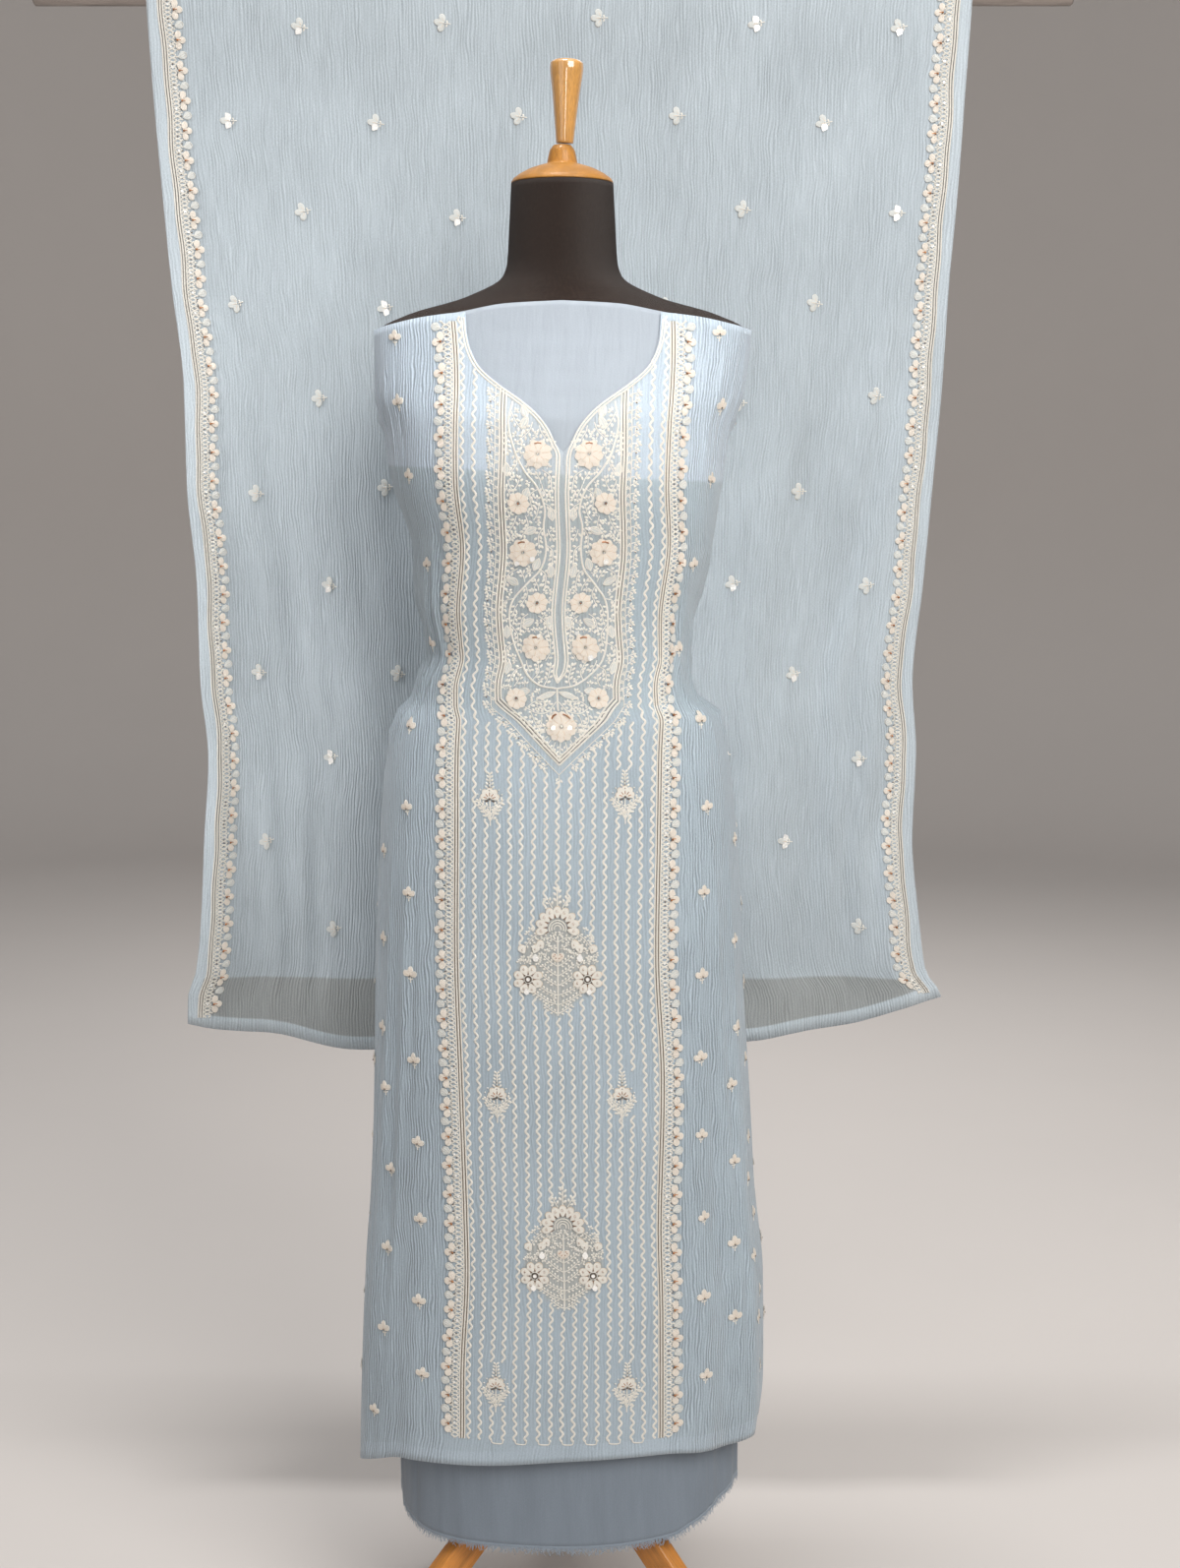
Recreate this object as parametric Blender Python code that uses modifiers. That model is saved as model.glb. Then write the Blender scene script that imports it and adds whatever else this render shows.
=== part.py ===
"""Three-piece salwar kameez suit, dressed on a limbless dress form, dupatta over a rail.

Metres, +Z up. The front of the suit faces -Y and +X is the viewer's right. The origin is the
middle of the floor under the whole set. Cloth is a thin wall: each piece is an open surface worked
out from a short table of its sections, given its thickness by a Solidify modifier. A piece that
lies on another is made from that other's surface, moved in or out.
"""

import math

import bmesh
import bpy
from mathutils import Matrix, Vector

# ---------------------------------------------------------------- driving sizes

FORM_X = 0.0129           # where the form's upright axis stands, from the middle of the set
FORM_Y = -0.0578
MILLIMETRE = 0.001
RADIANS = math.pi / 180

KAMEEZ_WALL = 1.6 * MILLIMETRE
BOTTOM_WALL = 1.6 * MILLIMETRE
LINING_WALL = 1.2 * MILLIMETRE
DUPATTA_WALL = 1.2 * MILLIMETRE
SEAT_GAP = 0.3 * MILLIMETRE       # between hard pieces that touch
CLOTH_GAP = 0.5 * MILLIMETRE      # between cloths that lie on each other

SQUARENESS = 0.12         # 0 makes every section an ellipse, more makes it fuller at the corners

KAMEEZ_LAP = 6.0          # degrees that each vertical edge runs past the centre back
BOTTOM_LAP = 8.0
LINING_REACH = 104.0      # degrees that the lining reaches round from the centre front

FINIAL_LEAN = 1.7         # degrees the finial leans to the right
FINIAL_SHIFT = 0.0025

RAIL_LENGTH = 1.152
RAIL_RADIUS = 0.0125
RAIL_BEHIND = 0.250       # from the form's axis back to the rail's axis
RAIL_HEIGHT = 1.7835
RAIL_OFFSET_X = -FORM_X   # the rail's middle from the form's axis

DUPATTA_FRONT_GAP = 0.0105   # half the distance between the two hanging layers, lower down
DUPATTA_BACK_BOTTOM = 0.668  # height of the back layer's hem
DUPATTA_BEND = 0.0133        # radius of the fold over the rail, to the cloth's inner face

POLE_RADIUS = 0.0125
HUB_RADIUS = 0.024
HUB_BOTTOM = 0.170
HUB_TOP = 0.242
TORSO_BOTTOM = 0.740
LEG_THICKNESS = 0.020
LEG_REACH = 0.240
LEG_TOP = 0.236
LEG_DROP = 0.048          # depth of the leg's board, measured upright
LEG_ANGLES = {"leg_front_left": 211.0, "leg_front_right": 323.0, "leg_back": 90.0}


class Table:
    """Rows of sizes under named columns, read smoothly between rows by their first column."""

    def __init__(self, columns, *rows):
        self.columns = columns
        self.rows = sorted(rows)

    def slope(self, index, column):
        """Slope of a column at a row, flat where the column turns back."""
        rows = self.rows
        if index in (0, len(rows) - 1):
            first = min(index, len(rows) - 2)
            run = rows[first + 1][0] - rows[first][0]
            return (rows[first + 1][column] - rows[first][column]) / run
        before = (rows[index][column] - rows[index - 1][column]) / (rows[index][0] - rows[index - 1][0])
        after = (rows[index + 1][column] - rows[index][column]) / (rows[index + 1][0] - rows[index][0])
        if before * after <= 0:
            return 0.0
        return 2 * before * after / (before + after)

    def at(self, key, name):
        """The value under a named column at a key, held at the table's ends."""
        rows = self.rows
        column = self.columns.index(name)
        if key <= rows[0][0]:
            return rows[0][column]
        if key >= rows[-1][0]:
            return rows[-1][column]
        index = next(i for i in range(len(rows) - 1) if key <= rows[i + 1][0])
        run = rows[index + 1][0] - rows[index][0]
        t = (key - rows[index][0]) / run
        low, high = rows[index][column], rows[index + 1][column]
        start, end = self.slope(index, column) * run, self.slope(index + 1, column) * run
        return (
            (2 * t**3 - 3 * t**2 + 1) * low
            + (t**3 - 2 * t**2 + t) * start
            + (3 * t**2 - 2 * t**3) * high
            + (t**3 - t**2) * end
        )


# Sections: height, then how far the surface stands from the axis on each side.
SECTION = ("z", "left", "right", "front", "back")

KAMEEZ = Table(
    SECTION,
    (1.432, 0.1800, 0.1800, 0.0690, 0.0820),
    (1.402, 0.1925, 0.1920, 0.0800, 0.0920),
    (1.339, 0.1915, 0.1850, 0.1070, 0.1000),
    (1.305, 0.1830, 0.1725, 0.1210, 0.1000),
    (1.250, 0.1752, 0.1635, 0.1275, 0.0960),
    (1.179, 0.1550, 0.1525, 0.1130, 0.0890),
    (1.128, 0.1522, 0.1393, 0.1030, 0.0840),
    (1.100, 0.1455, 0.1333, 0.0990, 0.0810),
    (1.076, 0.1400, 0.1310, 0.0975, 0.0800),
    (1.052, 0.1510, 0.1322, 0.0980, 0.0830),
    (1.028, 0.1590, 0.1400, 0.1000, 0.0900),
    (1.012, 0.1725, 0.1620, 0.1030, 0.1000),
    (0.980, 0.1828, 0.1700, 0.1070, 0.1080),
    (0.932, 0.1900, 0.1775, 0.1120, 0.1150),
    (0.827, 0.1960, 0.1864, 0.1170, 0.1210),
    (0.666, 0.2015, 0.1933, 0.1190, 0.1230),
    (0.501, 0.2094, 0.2036, 0.1210, 0.1250),
    (0.390, 0.2186, 0.2156, 0.1230, 0.1270),
    (0.277, 0.2236, 0.2170, 0.1250, 0.1290),
    (0.190, 0.2261, 0.2070, 0.1260, 0.1290),
)

BOTTOM = Table(
    SECTION,
    (1.022, 0.1600, 0.1435, 0.0978, 0.0880),
    (1.012, 0.1680, 0.1570, 0.0998, 0.0942),
    (0.980, 0.1797, 0.1668, 0.1040, 0.1030),
    (0.932, 0.1870, 0.1743, 0.1090, 0.1100),
    (0.827, 0.1925, 0.1828, 0.1138, 0.1165),
    (0.666, 0.1900, 0.1850, 0.1130, 0.1160),
    (0.400, 0.1840, 0.1860, 0.1120, 0.1135),
    (0.133, 0.1790, 0.1865, 0.1110, 0.1110),
)

TORSO = Table(
    ("z", "side", "front", "back"),
    (1.5472, 0.0516, 0.0516, 0.0516),
    (1.5165, 0.0532, 0.0530, 0.0534),
    (1.4700, 0.0560, 0.0545, 0.0570),
    (1.4553, 0.0610, 0.0560, 0.0610),
    (1.4348, 0.0995, 0.0600, 0.0700),
    (1.4180, 0.1570, 0.0675, 0.0780),
    (1.4020, 0.1865, 0.0755, 0.0870),
    (1.3390, 0.1805, 0.1015, 0.0950),
    (1.3050, 0.1680, 0.1150, 0.0950),
    (1.2500, 0.1590, 0.1220, 0.0913),
    (1.1790, 0.1485, 0.1083, 0.0843),
    (1.1280, 0.1365, 0.0985, 0.0795),
    (1.0760, 0.1280, 0.0930, 0.0755),
    (1.0280, 0.1350, 0.0945, 0.0830),
    (0.9800, 0.1540, 0.1010, 0.0990),
    (0.9320, 0.1680, 0.1055, 0.1050),
    (0.8800, 0.1750, 0.1085, 0.1105),
    (0.8200, 0.1775, 0.1102, 0.1118),
    (0.7600, 0.1735, 0.1080, 0.1095),
    (0.7400, 0.1690, 0.1055, 0.1070),
)

# Height of the kameez's lower edge, by the way it faces: 0 is the front, +90 the right.
KAMEEZ_HEM = Table(
    ("angle", "z"),
    (-186.0, 0.206),
    (-90.0, 0.190),
    (-65.0, 0.211),
    (-43.0, 0.229),
    (-19.0, 0.233),
    (4.0, 0.240),
    (30.0, 0.243),
    (40.0, 0.240),
    (52.0, 0.236),
    (65.0, 0.237),
    (90.0, 0.235),
    (186.0, 0.206),
)

# Height of the bottom cloth's lower edge: raised in the fold at the right-hand side.
BOTTOM_HEM = Table(
    ("angle", "z"),
    (-190.0, 0.166),
    (-140.0, 0.162),
    (-90.0, 0.152),
    (-70.0, 0.144),
    (-48.0, 0.136),
    (0.0, 0.135),
    (35.0, 0.142),
    (43.0, 0.150),
    (59.0, 0.162),
    (90.0, 0.176),
    (130.0, 0.168),
    (190.0, 0.166),
)

# Neck opening of the kameez: half its width, and how high its edge is there.
NECK_MIDDLE = 0.0020
NECK_EDGE = Table(
    ("half_width", "z"),
    (0.0000, 1.2790),
    (0.0050, 1.2840),
    (0.0140, 1.3020),
    (0.0270, 1.3180),
    (0.0400, 1.3290),
    (0.0640, 1.3460),
    (0.0820, 1.3620),
    (0.0900, 1.3760),
    (0.0950, 1.3930),
    (0.0975, 1.4160),
)
NECK_COLUMNS = (0.0015, 0.0070, 0.0220, 0.0400, 0.0640, 0.0840, 0.0935, 0.0975)

# Top edge of the kameez beside and behind the neck, by the way it faces.
KAMEEZ_TOP = Table(
    ("angle", "z"),
    (0.0, 1.418),
    (28.0, 1.416),
    (40.0, 1.413),
    (60.0, 1.406),
    (80.0, 1.402),
    (130.0, 1.404),
    (186.0, 1.408),
)
LINING_TOP = Table(
    ("angle", "z"),
    (0.0, 1.4285),
    (16.0, 1.4255),
    (28.0, 1.4185),
    (45.0, 1.4095),
    (75.0, 1.3990),
    (104.0, 1.3985),
)
LINING_BOTTOM = Table(
    ("angle", "z"),
    (-104.0, 1.268),
    (-40.0, 1.264),
    (40.0, 1.252),
    (104.0, 1.248),
)

# Folds of the kameez: a soft ridge, or a trough where its rise is below zero, from one place to
# another on the wall. A place is the way it faces, in degrees, and its height above the floor.
# Columns: first place's angle and height, last place's angle and height, half width, rise.
KAMEEZ_FOLDS = (
    # flutes of the skirt, from the hips to past the hem
    (34, 0.72, 38, -0.05, 0.030, 0.0030),
    (48, 0.66, 53, -0.05, 0.026, -0.0045),
    (63, 0.80, 67, -0.05, 0.028, 0.0045),
    (80, 0.82, 84, -0.05, 0.027, -0.0040),
    (103, 0.84, 100, -0.05, 0.030, 0.0050),
    (126, 0.82, 122, -0.05, 0.030, -0.0050),
    (150, 0.86, 148, -0.05, 0.034, 0.0055),
    (-48, 0.55, -52, -0.05, 0.028, -0.0030),
    (-66, 0.82, -70, -0.05, 0.030, 0.0035),
    (-84, 0.76, -90, -0.05, 0.026, -0.0035),
    (-106, 0.84, -110, -0.05, 0.030, 0.0050),
    (-130, 0.82, -132, -0.05, 0.030, -0.0050),
    (-154, 0.86, -152, -0.05, 0.032, 0.0050),
    # cloth drawn to the pinned centre back at the waist
    (62, 1.200, 118, 1.090, 0.017, 0.0026),
    (58, 1.150, 112, 1.066, 0.015, -0.0022),
    (60, 1.120, 104, 1.052, 0.015, 0.0024),
    (72, 0.985, 124, 1.052, 0.016, 0.0026),
    (-62, 1.190, -120, 1.085, 0.017, 0.0026),
    (-60, 1.135, -110, 1.064, 0.015, -0.0022),
    (-64, 1.095, -102, 1.052, 0.014, 0.0026),
    (-70, 0.975, -124, 1.050, 0.016, 0.0026),
    (140, 1.280, 168, 1.090, 0.022, 0.0036),
    (-140, 1.280, -168, 1.090, 0.022, 0.0036),
    (140, 0.860, 166, 1.060, 0.022, 0.0036),
    (-140, 0.860, -166, 1.060, 0.022, 0.0036),
    # small tucks where the cloth turns under the shoulders
    (70, 1.318, 112, 1.300, 0.011, 0.0034),
    (-70, 1.316, -112, 1.300, 0.011, 0.0034),
)
# The same columns, for the bottom cloth.
BOTTOM_FOLDS = (
    (60, 0.62, 62, -0.10, 0.026, -0.0035),
    (84, 0.62, 82, -0.10, 0.022, 0.0040),
    (104, 0.62, 104, -0.10, 0.022, -0.0035),
    (-96, 0.60, -94, -0.10, 0.026, 0.0030),
    (-150, 0.70, -148, -0.10, 0.034, -0.0040),
    (150, 0.70, 148, -0.10, 0.034, 0.0040),
)
FOLD_ARM = 0.165          # metres of wall for each radian, to measure a fold's width by

# Outline of the dupatta's front layer by height, from the form's axis.
DUPATTA = Table(
    ("z", "left", "right"),
    (0.590, 0.4490, 0.4480),
    (0.646, 0.4470, 0.4440),
    (0.676, 0.4370, 0.4250),
    (0.735, 0.4295, 0.4160),
    (0.840, 0.4225, 0.4055),
    (0.935, 0.4155, 0.4075),
    (1.022, 0.4225, 0.4015),
    (1.130, 0.4235, 0.4110),
    (1.245, 0.4320, 0.4195),
    (1.355, 0.4325, 0.4275),
    (1.465, 0.4430, 0.4325),
    (1.572, 0.4510, 0.4400),
    (1.680, 0.4580, 0.4455),
    (1.780, 0.4620, 0.4500),
    (1.800, 0.4625, 0.4505),
)
# Lower edge of the dupatta's front layer, by the distance from its middle over half its width.
DUPATTA_HEM = Table(
    ("across", "z"),
    (-1.00, 0.612),
    (-0.78, 0.598),
    (-0.50, 0.580),
    (0.00, 0.574),
    (0.47, 0.592),
    (0.74, 0.610),
    (1.00, 0.646),
)
# Soft standing folds of the dupatta: place across, half width across, depth at the hem.
DUPATTA_FOLDS = (
    (-0.97, 0.10, -0.0070),
    (-0.80, 0.13, 0.0060),
    (-0.55, 0.16, -0.0050),
    (-0.28, 0.16, 0.0060),
    (0.02, 0.18, -0.0050),
    (0.30, 0.16, 0.0055),
    (0.54, 0.13, -0.0060),
    (0.73, 0.13, 0.0080),
    (0.90, 0.10, -0.0060),
)

MATERIALS = {
    # name: (base colour, roughness, metallic)
    "chiffon": ((0.42, 0.50, 0.55, 1), 0.75, 0.0),
    "lining": ((0.56, 0.64, 0.72, 1), 0.65, 0.0),
    "plain_cloth": ((0.24, 0.29, 0.34, 1), 0.70, 0.0),
    "stole_chiffon": ((0.44, 0.52, 0.55, 1), 0.75, 0.0),
    "jersey": ((0.030, 0.024, 0.021, 1), 0.80, 0.0),
    "turned_wood": ((0.55, 0.30, 0.11, 1), 0.35, 0.0),
    "leg_wood": ((0.45, 0.19, 0.06, 1), 0.40, 0.0),
    "steel": ((0.45, 0.42, 0.40, 1), 0.30, 1.0),
}


# ---------------------------------------------------------------- curves and folds


def smooth(t):
    """0 to 1 with level ends."""
    t = min(max(t, 0.0), 1.0)
    return t * t * (3 - 2 * t)


def bell(t):
    """1 at the middle, 0 at -1 and +1."""
    return math.cos(math.pi * t / 2) ** 2 if abs(t) < 1 else 0.0


def faced(angle):
    """An angle in degrees brought to -180 to 180."""
    return (angle + 180.0) % 360.0 - 180.0


def fold_height(folds, angle, z):
    """How far a wall's folds move it outward at a place."""
    along = faced(angle) * RADIANS * FOLD_ARM
    total = 0.0
    for angle_1, z_1, angle_2, z_2, half_width, height in folds:
        start = Vector((angle_1 * RADIANS * FOLD_ARM, z_1))
        run = Vector((angle_2 * RADIANS * FOLD_ARM, z_2)) - start
        offset = Vector((along, z)) - start
        t = offset.dot(run) / run.length_squared
        if not 0 < t < 1:
            continue
        aside = (offset - run * t).length
        ends = smooth(t / 0.3) * smooth((1 - t) / 0.3)
        total += height * bell(aside / half_width) * ends
    return total


def section_point(table, angle, z):
    """A point of a wrapped cloth's section before its folds."""
    left, right = table.at(z, "left"), table.at(z, "right")
    sine, cosine = math.sin(angle * RADIANS), math.cos(angle * RADIANS)
    depth = table.at(z, "front") if cosine > 0 else table.at(z, "back")
    x = (right - left) / 2 + (right + left) / 2 * sine * (1 + SQUARENESS * cosine**2)
    y = -depth * cosine * (1 + SQUARENESS * sine**2)
    return Vector((x, y, z))


def wrapped_point(table, folds, wall, angle, z):
    """A point of a cloth wrapped once round: its two ends lap at the back without touching."""
    step = 0.5
    here = section_point(table, angle, z)
    along = section_point(table, angle + step, z) - section_point(table, angle - step, z)
    outward = Vector((along.y, -along.x, 0)).normalized()
    lap = angle / 360.0 * (wall + CLOTH_GAP)
    return here + outward * (fold_height(folds, angle, z) + lap)


def kameez_point(angle, z):
    return wrapped_point(KAMEEZ, KAMEEZ_FOLDS, KAMEEZ_WALL, angle, z)


def kameez_plain_point(angle, z):
    return wrapped_point(KAMEEZ, (), KAMEEZ_WALL, angle, z)


def bottom_point(angle, z):
    return wrapped_point(BOTTOM, BOTTOM_FOLDS, BOTTOM_WALL, angle, z)


def moved_in(surface, angle, z, depth):
    """A surface's point moved inward, square to the surface."""
    turn, rise = 0.5, 0.004
    across = surface(angle + turn, z) - surface(angle - turn, z)
    up = surface(angle, z + rise) - surface(angle, z - rise)
    return surface(angle, z) - across.cross(up).normalized() * depth


def neck_angle(x, z):
    """The way a column faces that passes x from the axis at a height of the kameez's front."""
    low, high = -80.0, 80.0
    for _ in range(30):
        middle = (low + high) / 2
        if section_point(KAMEEZ, middle, z).x < x:
            low = middle
        else:
            high = middle
    return (low + high) / 2


def kameez_top(angle):
    """Height of the kameez's upper edge, with the neck opening cut into it."""
    side = KAMEEZ_TOP.at(abs(faced(angle)), "z")
    if abs(faced(angle)) > 60:
        return side
    z = side
    for _ in range(12):
        half_width = abs(section_point(KAMEEZ, angle, z).x - NECK_MIDDLE)
        z = (z + min(side, NECK_EDGE.at(half_width, "z"))) / 2
    half_width = abs(section_point(KAMEEZ, angle, z).x - NECK_MIDDLE)
    return z if half_width < NECK_COLUMNS[-1] - 0.0005 else side


# ---------------------------------------------------------------- making objects


def start_clean():
    for old in list(bpy.data.objects):
        bpy.data.objects.remove(old, do_unlink=True)


def material(name):
    """A Principled material from the table of finishes."""
    made = bpy.data.materials.get(name)
    if made:
        return made
    colour, roughness, metallic = MATERIALS[name]
    made = bpy.data.materials.new(name)
    made.use_nodes = True
    shader = made.node_tree.nodes["Principled BSDF"]
    shader.inputs["Base Color"].default_value = colour
    shader.inputs["Roughness"].default_value = roughness
    shader.inputs["Metallic"].default_value = metallic
    made.diffuse_color = colour
    return made


def add_object(name, data, material_name):
    """Put an object in the suit's collection, standing on the form's axis."""
    made = bpy.data.objects.new(name, data)
    made.location = (FORM_X, FORM_Y, 0)
    data.materials.append(material(material_name))
    bpy.data.collections["salwar_kameez_suit"].objects.link(made)
    return made


def sheet_mesh(name, rows):
    """An open surface through rows of points, each row as long as the next."""
    mesh = bpy.data.meshes.new(name)
    grid = bmesh.new()
    bmesh.ops.create_grid(grid, x_segments=len(rows[0]) - 1, y_segments=len(rows) - 1, size=1)
    grid.verts.ensure_lookup_table()
    for index, vert in enumerate(grid.verts):
        row, column = divmod(index, len(rows[0]))
        vert.co = rows[row][column]
    bmesh.ops.recalc_face_normals(grid, faces=grid.faces)
    grid.to_mesh(mesh)
    grid.free()
    for face in mesh.polygons:
        face.use_smooth = True
    return mesh


def add_cloth(name, rows, wall, material_name):
    """A sheet of cloth: its outer face through rows of points, listed top row first."""
    made = add_object(name, sheet_mesh(name, rows), material_name)
    thickness = made.modifiers.new("wall", "SOLIDIFY")
    thickness.thickness = wall
    thickness.offset = -1
    thickness.use_even_offset = False
    return made


def add_turned(name, profile, material_name, steps=24):
    """A turned piece: half profile of (radius, height) from the top down, spun round the axis."""
    mesh = bpy.data.meshes.new(name)
    edge = bmesh.new()
    verts = [edge.verts.new((radius, 0, z)) for radius, z in profile]
    for upper, lower in zip(verts, verts[1:]):
        edge.edges.new((upper, lower))
    edge.to_mesh(mesh)
    edge.free()
    made = add_object(name, mesh, material_name)
    screw = made.modifiers.new("turn", "SCREW")
    screw.steps = screw.render_steps = steps
    screw.use_merge_vertices = True
    screw.merge_threshold = 0.00005
    screw.use_smooth_shade = True
    return made


# ---------------------------------------------------------------- the suit


def spread(first, last, count):
    """Even values from first to last, both included."""
    return [first + (last - first) * i / (count - 1) for i in range(count)]


def kameez_columns():
    """The ways the kameez's columns face: finer round the neck opening."""
    level = 1.34
    right = [neck_angle(NECK_MIDDLE + x, level) for x in NECK_COLUMNS]
    left = [neck_angle(NECK_MIDDLE - x, level) for x in reversed(NECK_COLUMNS)]
    end = 180.0 + KAMEEZ_LAP
    before = spread(-end, left[0], 25)[:-1]
    after = spread(right[-1], end, 25)[1:]
    return before + left + right + after


def add_kameez():
    """The embroidered panel, wrapped once round the form and lapped at the centre back."""
    heights = (1.245, 1.212, 1.180, 1.152, 1.130, 1.110, 1.092, 1.076, 1.060, 1.044, 1.031, 1.021,
               1.012, 0.998, 0.975, 0.940, 0.885, 0.810, 0.720, 0.625, 0.530, 0.440, 0.355, 0.290)
    neck_level = 1.272
    neck_rows = 5
    columns = kameez_columns()
    rows = []
    for i in range(neck_rows):
        share = i / neck_rows
        row = []
        for angle in columns:
            top = kameez_top(angle)
            row.append(kameez_point(angle, top + (neck_level - top) * share))
        rows.append(row)
    for z in (neck_level,) + heights:
        rows.append([kameez_point(angle, z) for angle in columns])
    for share in (0.5, 1.0):
        row = []
        for angle in columns:
            hem = KAMEEZ_HEM.at(angle, "z")
            row.append(kameez_point(angle, heights[-1] + (hem - heights[-1]) * share))
        rows.append(row)
    return add_cloth("kameez_panel", rows, KAMEEZ_WALL, "chiffon")


def add_lining():
    """The lining band across the chest, just inside the kameez."""
    columns = spread(-LINING_REACH, LINING_REACH, 25)
    inside = KAMEEZ_WALL + 2.2 * CLOTH_GAP
    rows = []
    for share in spread(0, 1, 6):
        row = []
        for angle in columns:
            top = LINING_TOP.at(abs(angle), "z")
            z = top + (LINING_BOTTOM.at(angle, "z") - top) * share
            row.append(moved_in(kameez_plain_point, angle, z, inside))
        rows.append(row)
    return add_cloth("lining_yoke", rows, LINING_WALL, "lining")


def add_bottom_cloth():
    """The plain salwar cloth, wrapped round the hips and hanging below the kameez."""
    end = 180.0 + BOTTOM_LAP
    columns = spread(-end, end, 42)
    heights = (1.022, 1.012, 0.990, 0.950, 0.890, 0.780, 0.640, 0.500, 0.360, 0.240)
    rows = [[bottom_point(angle, z) for angle in columns] for z in heights]
    rows.append([bottom_point(angle, BOTTOM_HEM.at(angle, "z")) for angle in columns])
    return add_cloth("bottom_cloth", rows, BOTTOM_WALL, "plain_cloth")


def dupatta_fold(across, z):
    """How far the dupatta's standing folds move it back, growing from the rail to the hem."""
    growth = smooth((RAIL_HEIGHT - z) / 0.9)
    return growth * sum(depth * bell((across - place) / half) for place, half, depth in DUPATTA_FOLDS)


def dupatta_point(across, z, side):
    """A point of a hanging layer: side is -1 for the front layer and +1 for the back one."""
    left, right = DUPATTA.at(z, "left"), DUPATTA.at(z, "right")
    x = (right - left) / 2 + across * (right + left) / 2
    closing = smooth((RAIL_HEIGHT - z) / 0.12)
    outer = DUPATTA_BEND + DUPATTA_WALL
    apart = outer + (DUPATTA_FRONT_GAP - outer) * closing
    return Vector((x, RAIL_BEHIND + side * apart + dupatta_fold(across, z), z))


def add_dupatta():
    """The stole: up the front layer, over the rail and down the back layer."""
    across = spread(-1, 1, 25)
    outer = DUPATTA_BEND + DUPATTA_WALL
    rows = []
    for share in spread(0, 1, 12)[:-1]:
        row = []
        for place in across:
            hem = DUPATTA_HEM.at(place, "z")
            row.append(dupatta_point(place, hem + (RAIL_HEIGHT - hem) * share**0.9, -1))
        rows.append(row)
    for turn in spread(0, 180, 9):
        row = []
        for place in across:
            edge = dupatta_point(place, RAIL_HEIGHT, -1)
            y = RAIL_BEHIND - outer * math.cos(turn * RADIANS)
            row.append(Vector((edge.x, y, RAIL_HEIGHT + outer * math.sin(turn * RADIANS))))
        rows.append(row)
    for share in spread(0, 1, 11)[1:]:
        z = RAIL_HEIGHT + (DUPATTA_BACK_BOTTOM - RAIL_HEIGHT) * share**1.1
        rows.append([dupatta_point(place, z, 1) for place in across])
    return add_cloth("dupatta", rows, DUPATTA_WALL, "stole_chiffon")


# ---------------------------------------------------------------- the form and the rail


def torso_ring(z, sides):
    """A closed ring of the torso's section."""
    ring = []
    for i in range(sides):
        angle = 360.0 * i / sides
        sine, cosine = math.sin(angle * RADIANS), math.cos(angle * RADIANS)
        depth = TORSO.at(z, "front") if cosine > 0 else TORSO.at(z, "back")
        fullness = 0.08 * smooth((1.43 - z) / 0.05)
        x = TORSO.at(z, "side") * sine * (1 + fullness * cosine**2)
        y = -depth * cosine * (1 + fullness * sine**2)
        ring.append((x, y, z))
    return ring


def add_torso():
    """The jersey covered torso and neck, one smooth closed body."""
    sides = 32
    heights = [row[0] for row in TORSO.rows]
    body = bmesh.new()
    rings = []
    for z in heights:
        ring = [body.verts.new(point) for point in torso_ring(z, sides)]
        loop = [body.edges.new((ring[i], ring[(i + 1) % sides])) for i in range(sides)]
        rings.append(loop)
    for lower, upper in zip(rings, rings[1:]):
        bmesh.ops.bridge_loops(body, edges=lower + upper)
    bmesh.ops.contextual_create(body, geom=rings[0])
    bmesh.ops.contextual_create(body, geom=rings[-1])
    bmesh.ops.recalc_face_normals(body, faces=body.faces)
    mesh = bpy.data.meshes.new("form_torso")
    body.to_mesh(mesh)
    body.free()
    mesh.shade_smooth()
    return add_object("form_torso", mesh, "jersey")


def add_head_wood():
    """The turned cap on the neck, and the finial on it."""
    seat = TORSO.rows[-1][0] + SEAT_GAP
    add_turned("neck_cap", (
        (0.0, seat + 0.0385),
        (0.0090, seat + 0.0378),
        (0.0128, seat + 0.0325),
        (0.0150, seat + 0.0225),
        (0.0155, seat + 0.0195),
        (0.0215, seat + 0.0180),
        (0.0325, seat + 0.0145),
        (0.0425, seat + 0.0095),
        (0.0495, seat + 0.0045),
        (0.0515, seat + 0.0015),
        (0.0516, seat),
        (0.0, seat),
    ), "turned_wood")
    length = 0.0815
    finial = add_turned("finial", (
        (0.0, length),
        (0.0130, length - 0.0006),
        (0.0166, length - 0.0036),
        (0.0169, length - 0.0100),
        (0.0138, length - 0.0330),
        (0.0102, length - 0.0660),
        (0.0090, 0.0020),
        (0.0084, 0.0),
        (0.0, 0.0),
    ), "turned_wood")
    finial.location.x += FINIAL_SHIFT
    finial.location.z = seat + 0.0385 + 2 * SEAT_GAP
    finial.rotation_euler.y = FINIAL_LEAN * RADIANS


def add_upright():
    """The pole from the hub to the torso, and the hub."""
    add_turned("form_pole", (
        (0.0, TORSO_BOTTOM - SEAT_GAP),
        (POLE_RADIUS, TORSO_BOTTOM - SEAT_GAP),
        (POLE_RADIUS, HUB_TOP + SEAT_GAP),
        (0.0, HUB_TOP + SEAT_GAP),
    ), "leg_wood", 24)
    add_turned("tripod_hub", (
        (0.0, HUB_TOP),
        (HUB_RADIUS - 0.004, HUB_TOP),
        (HUB_RADIUS, HUB_TOP - 0.004),
        (HUB_RADIUS, HUB_BOTTOM + 0.004),
        (HUB_RADIUS - 0.004, HUB_BOTTOM),
        (0.0, HUB_BOTTOM),
    ), "leg_wood", 24)


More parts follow.
